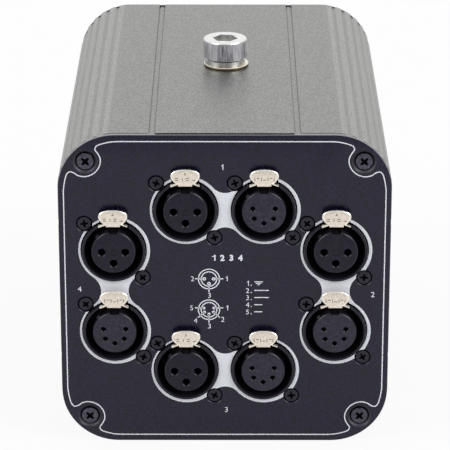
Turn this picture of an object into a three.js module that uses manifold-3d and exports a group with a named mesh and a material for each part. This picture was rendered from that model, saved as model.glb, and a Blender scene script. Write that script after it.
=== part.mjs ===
// A hanging signal splitter for stage lighting: a square extruded housing with fluted corners,
// eight latching female sockets in the front panel, two inputs and a mains inlet at the rear,
// and a bolt on top that hangs it from a clamp.
// Millimetres, +Z up. The front panel faces -Y. The origin is the centre of the bottom face.

import * as THREE from 'three';
import { mergeVertices } from 'three/addons/utils/BufferGeometryUtils.js';
import Module from 'manifold-3d';

const wasm = await Module();
wasm.setup();

// Body
const bodyWidth = 114;
const bodyHeight = 114;
const bodyDepth = 158;
const cornerRadius = 19.8;
const wallThickness = 2.6;

// Housing profile
const grooveOffset = 24.7;
const grooveWidth = 1.9;
const grooveDepth = 1;
const fluteCount = 6;
const fluteWidth = 1.6;
const fluteDepth = 0.7;
const fluteFirstAngle = THREE.MathUtils.degToRad(15);
const bossInset = 9.7;
const bossRadius = 4.4;
const railWidth = 26;
const railDepth = 7.4;
const cardRibDepth = 3;
const cardRibThickness = 1.5;

// End plates, each with a smaller step behind it
const plateThickness = 1.5;
const stepThickness = 1;
const stepInset = 0.7;

// Countersunk screws
const socketScrewHeadRadius = 2.4;
const socketScrewRadius = 1.3;
const socketScrewLength = 9;
const cornerScrewHeadRadius = 2.95;
const cornerScrewRadius = 1.5;
const cornerScrewLength = 14;
const screwSinkDepth = 0.15;
const crossLengthShare = 1.15;
const crossWidthShare = 0.36;
const crossDepthShare = 0.3;

// Socket places: each pair's distance from the panel's edge, and between its two sockets
const upperPairInset = 27.4;
const upperPairSpacing = 26.8;
const sidePairInset = 18.9;
const sidePairSpacing = 29.8;

// Socket shell
const collarProud = 1.2;
const collarThickness = 1.1;
const cavityRadius = 9.8;
const cavityDepth = 14;
const shellBackWall = 3;
const panelHoleRadius = 11.3;
const shellRadius = 11.9;
const lugOffset = 9.9;
const lugRadius = 2.6;
const lugLength = 8;
const channelWidth = 10.6;
const channelTop = 13.1;
const channelBottom = 8;
const channelLength = 9.6;
const channelWall = 1;

// Contact insert
const insertRadius = 7.5;
const insertFlangeRadius = 9.3;
const insertFlangeThickness = 1.5;
const keyWidth = 3.3;
const keyDepth = 1.3;
const keyLength = 9;
const pinCircleRadius = 4.05;
const threePinHoleRadius = 1.3;
const fivePinHoleRadius = 0.8;
const contactSink = 2.5;

// Release latch
const tabWidth = 10.2;
const tabBottom = 10.7;
const tabTop = 15.9;
const tabThickness = 1.2;
const tabStandoff = 1;
const tabCornerShare = 0.46;
const neckWidth = 4.8;
const neckThickness = 1.2;
const neckClearance = 0.15;
const earThickness = 0.5;
const earDrop = 0.7;
const armWidth = 9;
const pivotDepth = 7;
const pivotRadius = 0.9;
const pivotReach = 0.7;
const hookWidth = 3;
const hookDepth = 0.7;
const hookLength = 1.6;
const hookPlace = 2.4;

// Circuit boards
const boardThickness = 1.6;
const outputBoardMargin = 7;
const outputBoardChamfer = 6;
const mainBoardLevel = 47;
const mainBoardGap = 8;
const partHeight = 2.4;

// Rear input sockets
const inputOffset = 24;
const inputLevel = 80;
const inputFlangeWidth = 26;
const inputFlangeHeight = 31;
const inputFlangeThickness = 2.5;
const inputFlangeRadius = 4;
const inputBarrelRadius = 11.6;
const inputDepth = 19;
const inputCavityRadius = 7.8;
const inputCavityDepth = 13;
const inputScrewX = 9.5;
const inputScrewZ = 12;
const inputScrewRadius = 1.6;
const threePinRadius = 1.2;
const fivePinRadius = 0.8;
const inputPinLength = 10;

// Mains inlet and its fuse drawer
const inletLevel = 36;
const inletWidth = 50;
const inletHeight = 33;
const inletRadius = 5;
const inletFlangeThickness = 3;
const inletBodyWidth = 28;
const inletBodyHeight = 30;
const inletBodyDepth = 24;
const inletScrewOffset = 20;
const plugWidth = 24.2;
const plugHeight = 16.6;
const plugChamfer = 5;
const plugDepth = 16;
const plugRise = 5.4;
const bladeWidth = 2;
const bladeHeight = 4;
const bladeLength = 13;
const bladeSpacing = 7;
const bladeRise = 2;
const drawerWidth = 21.4;
const drawerHeight = 6.8;
const drawerDepth = 20;
const drawerDrop = 10;
const drawerGripDepth = 1.5;
const drawerGripHeight = 1.6;

// Hanging bolt and its washers
const boltRadius = 5;
const boltLength = 22;
const boltHeadRadius = 7.9;
const boltHeadHeight = 7;
const boltChamfer = 0.5;
const hexAcrossFlats = 8;
const hexDepth = 4.8;
const springWasherRadius = 7.6;
const springWasherThickness = 2.2;
const springWasherSplit = 1.2;
const flatWasherRadius = 8.3;
const flatWasherThickness = 1;

// Clearances and facets
const gap = 0.3;
const overrun = 2;
const roundSides = 20;
const screwSides = 8;
const pinSides = 6;
const plateCornerSides = 8;
const arcStep = THREE.MathUtils.degToRad(8);
const quarterTurn = Math.PI / 2;

// Values worked out from the ones above
const frontFace = -bodyDepth / 2;
const rearFace = bodyDepth / 2;
const bodyCentre = bodyHeight / 2;
const plateTotal = plateThickness + stepThickness;
const housingFront = frontFace + plateTotal;
const housingRear = rearFace - plateTotal;
const cornerScrewX = bodyWidth / 2 - bossInset;
const cornerScrewZ = bodyHeight / 2 - bossInset;
const upperPairHeight = bodyHeight / 2 - upperPairInset;
const sidePairOffset = bodyWidth / 2 - sidePairInset;
const collarRadius = cavityRadius + collarThickness;
const shellBack = cavityDepth + shellBackWall;
const contactBoardFront = shellBack + insertFlangeThickness;
const boltHoleRadius = boltRadius + gap;
const boltSeat = bodyHeight + flatWasherThickness + springWasherThickness;
const armBottom = cavityRadius + neckClearance;
const pivotLevel = armBottom + pivotRadius;
const tabFront = -collarProud - tabStandoff - tabThickness;
const tabBack = tabFront + tabThickness;
const inletReach = inletBodyDepth + gap;

// Finishes
function finish(color, roughness, metalness) {
  return new THREE.MeshStandardMaterial({ color, roughness, metalness });
}

const champagneAluminium = finish(0xa2a2a0, 0.5, 0.9);
const blackAnodised = finish(0x35333e, 0.55, 0.4);
const blackPlastic = finish(0x1c1b20, 0.45, 0);
const insertPlastic = finish(0x393743, 0.5, 0);
const nickel = finish(0xd6ccbe, 0.3, 0.9);
const blackSteel = finish(0x2a2930, 0.4, 0.7);
const zincSteel = finish(0xc8c8cc, 0.3, 0.95);
const boardGreen = finish(0x1f5a33, 0.5, 0.1);

// Closed geometry and solids
function asSolid(geometry) {
  geometry.deleteAttribute('normal');
  geometry.deleteAttribute('uv');
  const merged = mergeVertices(geometry);
  const vertProperties = merged.getAttribute('position').array;
  const triVerts = Uint32Array.from(merged.getIndex().array);
  return new wasm.Manifold(new wasm.Mesh({ numProp: 3, vertProperties, triVerts }));
}

function asGeometry(solid) {
  const mesh = solid.getMesh();
  const geometry = new THREE.BufferGeometry();
  geometry.setAttribute('position', new THREE.BufferAttribute(mesh.vertProperties, mesh.numProp));
  geometry.setIndex(new THREE.BufferAttribute(mesh.triVerts, 1));
  return geometry;
}

function union(solids) {
  return solids.reduce((joined, solid) => joined.add(solid));
}

// An outline drawn in X and Z, extruded along Y
function prismY(outline, from, to, curveSegments = roundSides / 4) {
  const options = { depth: to - from, bevelEnabled: false, curveSegments };
  const geometry = new THREE.ExtrudeGeometry(outline, options);
  geometry.rotateX(quarterTurn);
  geometry.translate(0, to, 0);
  return asSolid(geometry);
}

// A profile of [radius, y] points, turned about Y; it runs round the section anticlockwise
function turnedY(profile, sides = roundSides) {
  const points = profile.map(([radius, along]) => new THREE.Vector2(radius, along));
  return asSolid(new THREE.LatheGeometry(points, sides));
}

// A profile of [radius, z] points, turned about Z
function turnedZ(profile, sides = roundSides) {
  const points = profile.map(([radius, along]) => new THREE.Vector2(radius, along));
  const geometry = new THREE.LatheGeometry(points, sides);
  geometry.rotateX(quarterTurn);
  return asSolid(geometry);
}

function rodY(radius, from, to, sides) {
  return turnedY([[0, from], [radius, from], [radius, to], [0, to]], sides);
}

function block(low, high) {
  const size = high.map((value, axis) => value - low[axis]);
  const geometry = new THREE.BoxGeometry(...size);
  geometry.translate(...low.map((value, axis) => value + size[axis] / 2));
  return asSolid(geometry);
}

function roundedRectangle(width, height, radius) {
  const shape = new THREE.Shape();
  const x = width / 2 - radius;
  const z = height / 2 - radius;
  shape.absarc(x, z, radius, 0, quarterTurn);
  shape.absarc(-x, z, radius, quarterTurn, 2 * quarterTurn);
  shape.absarc(-x, -z, radius, 2 * quarterTurn, 3 * quarterTurn);
  shape.absarc(x, -z, radius, 3 * quarterTurn, 4 * quarterTurn);
  return shape;
}

// Housing
function arcPoints(centre, radius, from, to) {
  const steps = Math.max(1, Math.round((to - from) / arcStep));
  const points = [];
  for (let i = 0; i <= steps; i += 1) {
    const angle = from + (to - from) * (i / steps);
    points.push(new THREE.Vector2(Math.cos(angle), Math.sin(angle)).multiplyScalar(radius).add(centre));
  }
  return points;
}

function flutedCorner(centre, start) {
  const points = [];
  const halfFlute = fluteWidth / 2 / cornerRadius;
  const pitch = (quarterTurn - 2 * fluteFirstAngle) / (fluteCount - 1);
  let from = start;
  for (let i = 0; i < fluteCount; i += 1) {
    const angle = start + fluteFirstAngle + i * pitch;
    const floorHalf = halfFlute / 2;
    points.push(...arcPoints(centre, cornerRadius, from, angle - halfFlute));
    points.push(...arcPoints(centre, cornerRadius - fluteDepth, angle - floorHalf, angle + floorHalf));
    from = angle + halfFlute;
  }
  points.push(...arcPoints(centre, cornerRadius, from, start + quarterTurn));
  return points;
}

// One flat side with its two grooves, then the fluted corner that follows it
function housingSide(turn, reach, halfLength) {
  const outward = new THREE.Vector2(Math.cos(turn), Math.sin(turn));
  const along = new THREE.Vector2(-outward.y, outward.x);
  const place = (t, n) => along.clone().multiplyScalar(t).addScaledVector(outward, n);
  const points = [];
  for (const middle of [-grooveOffset, grooveOffset]) {
    points.push(place(middle - grooveWidth / 2, reach));
    points.push(place(middle - grooveWidth / 2, reach - grooveDepth));
    points.push(place(middle + grooveWidth / 2, reach - grooveDepth));
    points.push(place(middle + grooveWidth / 2, reach));
  }
  points.push(...flutedCorner(place(halfLength - cornerRadius, reach - cornerRadius), turn));
  return points;
}

function housingOutline() {
  const points = [];
  for (let side = 0; side < 4; side += 1) {
    const upright = side % 2 === 1;
    const reach = (upright ? bodyHeight : bodyWidth) / 2;
    const halfLength = (upright ? bodyWidth : bodyHeight) / 2;
    points.push(...housingSide(side * quarterTurn, reach, halfLength));
  }
  return new THREE.Shape(points);
}

function cardRibs() {
  const inner = bodyWidth / 2 - wallThickness;
  const level = mainBoardLevel - bodyCentre;
  const ribs = [];
  for (const side of [-1, 1]) {
    const x = [side * (inner + wallThickness / 2), side * (inner - cardRibDepth)].sort((a, b) => a - b);
    const under = level - gap;
    const over = level + boardThickness + gap;
    ribs.push(block([x[0], housingFront, under - cardRibThickness], [x[1], housingRear, under]));
    ribs.push(block([x[0], housingFront, over], [x[1], housingRear, over + cardRibThickness]));
  }
  return ribs;
}

function housingGeometry() {
  const innerRadius = cornerRadius - wallThickness;
  const walls = 2 * wallThickness;
  const inner = roundedRectangle(bodyWidth - walls, bodyHeight - walls, innerRadius);
  let solid = prismY(housingOutline(), housingFront, housingRear);
  solid = solid.subtract(prismY(inner, housingFront - overrun, housingRear + overrun));
  const railTop = bodyHeight / 2 - wallThickness / 2;
  const railBottom = bodyHeight / 2 - wallThickness - railDepth;
  const rail = block([-railWidth / 2, housingFront, railBottom], [railWidth / 2, housingRear, railTop]);
  solid = union([solid, rail, ...cardRibs()]);
  const bores = [];
  for (const x of [-cornerScrewX, cornerScrewX]) {
    for (const z of [-cornerScrewZ, cornerScrewZ]) {
      const boss = rodY(bossRadius, housingFront, housingRear, roundSides / 2);
      const bore = rodY(cornerScrewRadius + gap, housingFront - overrun, housingRear + overrun, screwSides);
      solid = solid.add(boss.translate(x, 0, z));
      bores.push(bore.translate(x, 0, z));
    }
  }
  const boltHole = turnedZ([[0, railBottom - overrun], [boltHoleRadius, railBottom - overrun],
    [boltHoleRadius, bodyHeight / 2 + overrun], [0, bodyHeight / 2 + overrun]]);
  return asGeometry(solid.subtract(union([...bores, boltHole])));
}

// Screws
function coneHeight(headRadius, radius) {
  return headRadius - radius;
}

function screwGeometry(headRadius, radius, length, turn) {
  const coneEnd = screwSinkDepth + coneHeight(headRadius, radius);
  const body = turnedY([[0, screwSinkDepth], [headRadius, screwSinkDepth], [radius, coneEnd],
    [radius, length], [0, length]], screwSides);
  const reach = headRadius * crossLengthShare / 2;
  const half = headRadius * crossWidthShare / 2;
  const floor = screwSinkDepth + headRadius * crossDepthShare;
  const armX = block([-reach, screwSinkDepth - overrun, -half], [reach, floor, half]);
  const armZ = block([-half, screwSinkDepth - overrun, -reach], [half, floor, reach]);
  const cross = armX.add(armZ).rotate([0, turn, 0]);
  return asGeometry(body.subtract(cross));
}

function screwHole(headRadius, radius, x, z) {
  const mouth = headRadius + gap + screwSinkDepth;
  const coneEnd = screwSinkDepth + coneHeight(headRadius, radius);
  const profile = [[0, -overrun], [mouth + overrun, -overrun], [radius + gap, coneEnd],
    [radius + gap, plateTotal + overrun], [0, plateTotal + overrun]];
  return turnedY(profile, screwSides).translate(x, 0, z);
}

// End plates, drawn with their outer face at zero and the inside of the box along +Y
function blankPlate() {
  const face = roundedRectangle(bodyWidth, bodyHeight, cornerRadius);
  const inset = 2 * stepInset;
  const step = roundedRectangle(bodyWidth - inset, bodyHeight - inset, cornerRadius - stepInset);
  return prismY(face, 0, plateThickness, plateCornerSides).add(prismY(step, plateThickness, plateTotal));
}

function cornerScrewHoles() {
  const holes = [];
  for (const x of [-cornerScrewX, cornerScrewX]) {
    for (const z of [-cornerScrewZ, cornerScrewZ]) {
      holes.push(screwHole(cornerScrewHeadRadius, cornerScrewRadius, x, z));
    }
  }
  return holes;
}

const sockets = [
  { name: 'out1_3pin', pins: 3, x: -upperPairSpacing / 2, z: upperPairHeight },
  { name: 'out1_5pin', pins: 5, x: upperPairSpacing / 2, z: upperPairHeight },
  { name: 'out2_3pin', pins: 3, x: sidePairOffset, z: sidePairSpacing / 2 },
  { name: 'out2_5pin', pins: 5, x: sidePairOffset, z: -sidePairSpacing / 2 },
  { name: 'out3_3pin', pins: 3, x: -upperPairSpacing / 2, z: -upperPairHeight },
  { name: 'out3_5pin', pins: 5, x: upperPairSpacing / 2, z: -upperPairHeight },
  { name: 'out4_3pin', pins: 3, x: -sidePairOffset, z: sidePairSpacing / 2 },
  { name: 'out4_5pin', pins: 5, x: -sidePairOffset, z: -sidePairSpacing / 2 },
];

function frontPanelGeometry() {
  const cuts = cornerScrewHoles();
  for (const { x, z } of sockets) {
    const hole = rodY(panelHoleRadius, -overrun, plateTotal + overrun);
    const notch = block([-channelWidth / 2, -overrun, channelBottom],
      [channelWidth / 2, plateTotal + overrun, channelTop]);
    cuts.push(hole.add(notch).translate(x, 0, z));
    cuts.push(screwHole(socketScrewHeadRadius, socketScrewRadius, x - lugOffset, z + lugOffset));
    cuts.push(screwHole(socketScrewHeadRadius, socketScrewRadius, x + lugOffset, z - lugOffset));
  }
  return asGeometry(blankPlate().subtract(union(cuts)));
}

// The rear panel is the same blank, turned round so that its step points into the housing
function rearPanelGeometry() {
  const cuts = cornerScrewHoles();
  for (const x of [-inputOffset, inputOffset]) {
    const hole = rodY(inputBarrelRadius + gap, -overrun, plateTotal + overrun);
    cuts.push(hole.translate(x, 0, inputLevel - bodyCentre));
  }
  const halfWidth = inletBodyWidth / 2 + gap;
  const halfHeight = inletBodyHeight / 2 + gap;
  const inletHole = block([-halfWidth, -overrun, -halfHeight], [halfWidth, plateTotal + overrun, halfHeight]);
  cuts.push(inletHole.translate(0, 0, inletLevel - bodyCentre));
  return asGeometry(blankPlate().subtract(union(cuts)));
}

// Socket pieces, drawn with the panel's outer face at zero and the inside along +Y
function shellGeometry() {
  const collar = rodY(collarRadius, -collarProud, plateTotal);
  const barrel = rodY(shellRadius, plateTotal, shellBack);
  const boxHalf = channelWidth / 2 + pivotReach + gap + channelWall;
  const boxTop = channelTop + channelWall;
  const box = block([-boxHalf, plateTotal, 0], [boxHalf, channelLength + channelWall, boxTop]);
  const lugs = [];
  const screwBores = [];
  for (const side of [-1, 1]) {
    const lug = rodY(lugRadius, plateTotal, plateTotal + lugLength, screwSides);
    const webReach = lugOffset * Math.SQRT2;
    const web = block([-lugRadius, plateTotal, 0], [lugRadius, plateTotal + lugLength, webReach]);
    lugs.push(lug.translate(side * lugOffset, 0, -side * lugOffset));
    lugs.push(web.rotate([0, side > 0 ? 135 : -45, 0]));
    const bore = rodY(socketScrewRadius + gap, 0, plateTotal + lugLength + overrun, screwSides);
    screwBores.push(bore.translate(side * lugOffset, 0, -side * lugOffset));
  }
  const cavity = rodY(cavityRadius, -collarProud - overrun, cavityDepth);
  const insertBore = rodY(insertRadius + gap, cavityDepth - overrun, shellBack + overrun);
  const channel = block([-channelWidth / 2, -collarProud - overrun, channelBottom],
    [channelWidth / 2, channelLength, channelTop]);
  const pocketHalf = channelWidth / 2 + pivotReach + gap;
  const pocketRadius = pivotRadius + gap;
  const pocket = block([-pocketHalf, pivotDepth - pocketRadius, pivotLevel - pocketRadius],
    [pocketHalf, pivotDepth + pocketRadius, pivotLevel + pocketRadius]);
  const solid = union([collar, barrel, box, ...lugs]);
  return asGeometry(solid.subtract(union([cavity, insertBore, channel, pocket, ...screwBores])));
}

// Holes or pins of a 3-pin or 5-pin connector, evenly spread over the lower part of a circle
function pinPlaces(count) {
  const spread = count === 3 ? quarterTurn : THREE.MathUtils.degToRad(54);
  const places = [];
  for (let i = 0; i < count; i += 1) {
    const angle = -quarterTurn + (i - (count - 1) / 2) * spread;
    places.push([pinCircleRadius * Math.cos(angle), pinCircleRadius * Math.sin(angle)]);
  }
  return places;
}

function insertGeometry(pins) {
  const body = rodY(insertRadius, -collarProud, shellBack);
  const flange = rodY(insertFlangeRadius, shellBack, contactBoardFront);
  const key = block([-keyWidth / 2, -collarProud - overrun, insertRadius - keyDepth],
    [keyWidth / 2, keyLength - collarProud, insertRadius + overrun]);
  const holeRadius = pins === 3 ? threePinHoleRadius : fivePinHoleRadius;
  const holes = pinPlaces(pins).map(([x, z]) => {
    const hole = rodY(holeRadius, -collarProud - overrun, contactBoardFront + overrun, pinSides);
    return hole.translate(x, 0, z);
  });
  return asGeometry(body.add(flange).subtract(union([key, ...holes])));
}

function tabOutline() {
  const half = tabWidth / 2;
  const round = (tabTop - tabBottom) * tabCornerShare;
  const crown = tabTop - earThickness;
  const neck = neckWidth / 2;
  const shape = new THREE.Shape();
  shape.moveTo(neck, armBottom);
  shape.lineTo(neck, tabBottom - earThickness);
  shape.lineTo(half, tabBottom - earThickness - earDrop);
  shape.lineTo(half, tabBottom - earDrop);
  shape.lineTo(neck, tabBottom);
  shape.lineTo(half - round, tabBottom + earThickness);
  shape.quadraticCurveTo(half, tabBottom + round, half, tabTop - 2 * round);
  shape.quadraticCurveTo(half, crown, half - round, crown);
  shape.quadraticCurveTo(0, tabTop + earThickness, -half + round, crown);
  shape.quadraticCurveTo(-half, crown, -half, tabTop - 2 * round);
  shape.quadraticCurveTo(-half, tabBottom + round, -half + round, tabBottom + earThickness);
  shape.lineTo(-neck, tabBottom);
  shape.lineTo(-half, tabBottom - earDrop);
  shape.lineTo(-half, tabBottom - earThickness - earDrop);
  shape.lineTo(-neck, tabBottom - earThickness);
  shape.lineTo(-neck, armBottom);
  return shape;
}

function latchGeometry() {
  const tab = prismY(tabOutline(), tabFront, tabBack, 2);
  const armTop = armBottom + neckThickness;
  const armStart = plateTotal + gap;
  const pivotBack = pivotDepth + pivotRadius;
  const neckFront = tabFront + tabThickness / 2;
  const neck = block([-neckWidth / 2, neckFront, armBottom], [neckWidth / 2, pivotBack, armTop]);
  const arm = block([-armWidth / 2, armStart, armBottom], [armWidth / 2, pivotBack, armTop]);
  const reach = channelWidth / 2 + pivotReach;
  const pin = new THREE.CylinderGeometry(pivotRadius, pivotRadius, 2 * reach, screwSides);
  pin.rotateZ(quarterTurn);
  pin.translate(0, pivotDepth, pivotLevel);
  const hook = block([-hookWidth / 2, hookPlace, armBottom - hookDepth - neckClearance],
    [hookWidth / 2, hookPlace + hookLength, armTop - neckThickness / 2]);
  return asGeometry(union([tab, neck, arm, asSolid(pin), hook]));
}

// Circuit boards
function outputBoardGeometry() {
  const halfX = sidePairOffset + outputBoardMargin;
  const halfZ = upperPairHeight + outputBoardMargin;
  const cut = outputBoardChamfer;
  const outline = new THREE.Shape([
    [-halfX + cut, -halfZ], [halfX - cut, -halfZ], [halfX, -halfZ + cut], [halfX, halfZ - cut],
    [halfX - cut, halfZ], [-halfX + cut, halfZ], [-halfX, halfZ - cut], [-halfX, -halfZ + cut],
  ].map(([x, z]) => new THREE.Vector2(x, z)));
  const back = contactBoardFront + boardThickness;
  const pieces = [prismY(outline, contactBoardFront, back)];
  for (const { pins, x, z } of sockets) {
    const holeRadius = pins === 3 ? threePinHoleRadius : fivePinHoleRadius;
    for (const [px, pz] of pinPlaces(pins)) {
      const contact = rodY(holeRadius - gap, contactSink - collarProud, back, pinSides);
      pieces.push(contact.translate(x + px, 0, z + pz));
    }
  }
  const headerHalf = sidePairOffset / 3;
  pieces.push(block([-headerHalf, back - boardThickness / 2, -partHeight],
    [headerHalf, back + 3 * partHeight, partHeight]));
  return asGeometry(union(pieces));
}

// The board slides in the housing's card ribs; its parts are placed by shares of its size
function mainBoardGeometry() {
  const halfX = bodyWidth / 2 - wallThickness - gap;
  const front = frontFace + contactBoardFront + boardThickness + 3 * partHeight + mainBoardGap;
  const back = rearFace - inletReach - mainBoardGap;
  const depth = back - front;
  const boardTop = mainBoardLevel + boardThickness;
  const pieces = [block([-halfX, front, mainBoardLevel], [halfX, back, boardTop])];
  const partShares = [
    { name: 'transformer', x: -0.5, y: 0.78, width: 0.36, depth: 0.34, height: 11 },
    { name: 'capacitors', x: 0.1, y: 0.8, width: 0.2, depth: 0.22, height: 8 },
    { name: 'mains filter', x: 0.62, y: 0.8, width: 0.24, depth: 0.26, height: 7 },
    { name: 'header', x: 0, y: 0.06, width: 0.3, depth: 0.06, height: 3 },
  ];
  for (const column of [-0.7, -0.25, 0.25, 0.7]) {
    partShares.push({ name: 'optocoupler', x: column, y: 0.44, width: 0.1, depth: 0.09, height: 1.6 });
    partShares.push({ name: 'line driver', x: column, y: 0.24, width: 0.1, depth: 0.09, height: 1 });
  }
  for (const part of partShares) {
    const x = part.x * halfX;
    const y = front + part.y * depth;
    const halfPart = part.width * halfX / 2;
    const halfDepth = part.depth * depth / 2;
    pieces.push(block([x - halfPart, y - halfDepth, mainBoardLevel + boardThickness / 2],
      [x + halfPart, y + halfDepth, boardTop + part.height * partHeight]));
  }
  return asGeometry(union(pieces));
}

// Rear pieces, drawn like the end plates: outer face at zero, the inside of the box along +Y
function inputSocketGeometry(pins) {
  const outline = roundedRectangle(inputFlangeWidth, inputFlangeHeight, inputFlangeRadius);
  const flange = prismY(outline, -inputFlangeThickness, 0);
  const barrel = rodY(inputBarrelRadius, -inputFlangeThickness / 2, inputDepth);
  const floor = inputCavityDepth - inputFlangeThickness;
  const cavity = rodY(inputCavityRadius, -inputFlangeThickness - overrun, floor);
  const screwBores = [-1, 1].map((side) => {
    const bore = rodY(inputScrewRadius, -inputFlangeThickness - overrun, overrun, screwSides);
    return bore.translate(side * inputScrewX, 0, -side * inputScrewZ);
  });
  const radius = pins === 3 ? threePinRadius : fivePinRadius;
  const contacts = pinPlaces(pins).map(([x, z]) => {
    const pin = rodY(radius, floor - inputPinLength, floor + inputFlangeThickness, pinSides);
    return pin.translate(x, 0, z);
  });
  const shell = flange.add(barrel).subtract(union([cavity, ...screwBores]));
  return asGeometry(union([shell, ...contacts]));
}

function plugOutline() {
  const x = plugWidth / 2;
  const z = plugHeight / 2;
  return new THREE.Shape([
    [-x, -z], [x, -z], [x, z - plugChamfer],
    [x - plugChamfer, z], [-x + plugChamfer, z], [-x, z - plugChamfer],
  ].map(([px, pz]) => new THREE.Vector2(px, pz + plugRise)));
}

function inletGeometry() {
  const outer = -inletFlangeThickness;
  const flange = prismY(roundedRectangle(inletWidth, inletHeight, inletRadius), outer, 0);
  const halfWidth = inletBodyWidth / 2;
  const halfHeight = inletBodyHeight / 2;
  const body = block([-halfWidth, outer / 2, -halfHeight], [halfWidth, inletBodyDepth, halfHeight]);
  const plugFloor = outer + plugDepth;
  const plugRecess = prismY(plugOutline(), outer - overrun, plugFloor);
  const slotX = drawerWidth / 2 + gap;
  const slotZ = drawerHeight / 2 + gap;
  const drawerSlot = block([-slotX, outer - overrun, -drawerDrop - slotZ],
    [slotX, outer + drawerDepth + gap, -drawerDrop + slotZ]);
  const screwBores = [-1, 1].map((side) => {
    const bore = rodY(inputScrewRadius, outer - overrun, overrun, screwSides);
    return bore.translate(side * inletScrewOffset, 0, 0);
  });
  const blades = [[-bladeSpacing, -bladeRise], [bladeSpacing, -bladeRise], [0, bladeRise]].map(([x, z]) => {
    const middle = z + plugRise;
    return block([x - bladeWidth / 2, plugFloor - bladeLength, middle - bladeHeight / 2],
      [x + bladeWidth / 2, plugFloor + inletFlangeThickness, middle + bladeHeight / 2]);
  });
  const shell = flange.add(body).subtract(union([plugRecess, drawerSlot, ...screwBores]));
  return asGeometry(union([shell, ...blades]));
}

function drawerGeometry() {
  const outer = -inletFlangeThickness;
  const halfWidth = drawerWidth / 2;
  const halfHeight = drawerHeight / 2;
  const tray = block([-halfWidth, outer, -drawerDrop - halfHeight],
    [halfWidth, outer + drawerDepth, -drawerDrop + halfHeight]);
  const grip = block([-halfWidth / 2, outer - drawerGripDepth, -drawerDrop - drawerGripHeight / 2],
    [halfWidth / 2, outer + drawerGripDepth, -drawerDrop + drawerGripHeight / 2]);
  return asGeometry(tray.add(grip));
}

// Hanging bolt, drawn at its place on the top face
function boltGeometry() {
  const top = boltSeat + boltHeadHeight;
  const body = turnedZ([[0, boltSeat - boltLength], [boltRadius - boltChamfer, boltSeat - boltLength],
    [boltRadius, boltSeat - boltLength + boltChamfer], [boltRadius, boltSeat], [boltHeadRadius, boltSeat],
    [boltHeadRadius, top - boltChamfer], [boltHeadRadius - boltChamfer, top], [0, top]]);
  const hexRadius = hexAcrossFlats / Math.sqrt(3);
  const socket = turnedZ([[0, top - hexDepth], [hexRadius, top - hexDepth], [hexRadius, top + overrun],
    [0, top + overrun]], 6);
  return asGeometry(body.subtract(socket));
}

function ringSolid(inner, outer, low, high) {
  return turnedZ([[inner, low], [outer, low], [outer, high], [inner, high], [inner, low]]);
}

function flatWasherGeometry() {
  const top = bodyHeight + flatWasherThickness;
  return asGeometry(ringSolid(boltHoleRadius, flatWasherRadius, bodyHeight, top));
}

function springWasherGeometry() {
  const low = bodyHeight + flatWasherThickness;
  const ring = ringSolid(boltHoleRadius, springWasherRadius, low, boltSeat);
  const split = block([0, -springWasherSplit / 2, low - overrun],
    [springWasherRadius + overrun, springWasherSplit / 2, boltSeat + overrun]);
  return asGeometry(ring.subtract(split.rotate([0, 0, -60])));
}

// Assembly
function piece(name, geometry, material) {
  const mesh = new THREE.Mesh(geometry, material);
  mesh.name = name;
  return mesh;
}

const group = new THREE.Group();
const front = new THREE.Group();
front.position.set(0, frontFace, bodyCentre);
const rear = new THREE.Group();
rear.position.set(0, rearFace, bodyCentre);
rear.rotation.z = Math.PI;
group.add(front, rear);

const housing = piece('housing', housingGeometry(), champagneAluminium);
housing.position.z = bodyCentre;
group.add(housing);
front.add(piece('front_panel', frontPanelGeometry(), blackAnodised));
rear.add(piece('rear_panel', rearPanelGeometry(), blackAnodised));

const shell = shellGeometry();
const inserts = { 3: insertGeometry(3), 5: insertGeometry(5) };
const latch = latchGeometry();
sockets.forEach(({ name, pins, x, z }, index) => {
  const socket = new THREE.Group();
  socket.position.set(x, 0, z);
  socket.add(piece(`${name}_shell`, shell, blackPlastic));
  socket.add(piece(`${name}_insert`, inserts[pins], insertPlastic));
  socket.add(piece(`${name}_latch`, latch, nickel));
  for (const side of [-1, 1]) {
    const turn = 17 * (2 * index + side);
    const screw = screwGeometry(socketScrewHeadRadius, socketScrewRadius, socketScrewLength, turn);
    const mesh = piece(`${name}_screw_${side < 0 ? 'upper' : 'lower'}`, screw, blackSteel);
    mesh.position.set(side * lugOffset, 0, -side * lugOffset);
    socket.add(mesh);
  }
  front.add(socket);
});

for (const [end, holder] of [['front', front], ['rear', rear]]) {
  for (const [column, x] of [['left', -cornerScrewX], ['right', cornerScrewX]]) {
    for (const [row, z] of [['lower', -cornerScrewZ], ['upper', cornerScrewZ]]) {
      const screw = screwGeometry(cornerScrewHeadRadius, cornerScrewRadius, cornerScrewLength, 45);
      const mesh = piece(`${end}_screw_${row}_${column}`, screw, blackSteel);
      mesh.position.set(x, 0, z);
      holder.add(mesh);
    }
  }
}

front.add(piece('output_board', outputBoardGeometry(), boardGreen));
group.add(piece('main_board', mainBoardGeometry(), boardGreen));

for (const [name, pins, x] of [['input_5pin', 5, -inputOffset], ['input_3pin', 3, inputOffset]]) {
  const mesh = piece(name, inputSocketGeometry(pins), blackPlastic);
  mesh.position.set(x, 0, inputLevel - bodyCentre);
  rear.add(mesh);
}
const inlet = piece('mains_inlet', inletGeometry(), blackPlastic);
inlet.position.z = inletLevel - bodyCentre;
rear.add(inlet);
const drawer = piece('fuse_drawer', drawerGeometry(), blackPlastic);
drawer.position.z = inletLevel - bodyCentre;
rear.add(drawer);

group.add(piece('flat_washer', flatWasherGeometry(), zincSteel));
group.add(piece('spring_washer', springWasherGeometry(), zincSteel));
group.add(piece('mount_bolt', boltGeometry(), zincSteel));

export default group;
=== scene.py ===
"""A hanging DMX splitter: its looks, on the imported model. Metres, +Z up, the front panel faces -Y."""

import math

import bmesh
import bpy
from bpy.props import FloatProperty, FloatVectorProperty, IntProperty, PointerProperty
from mathutils import Matrix, Vector


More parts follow.
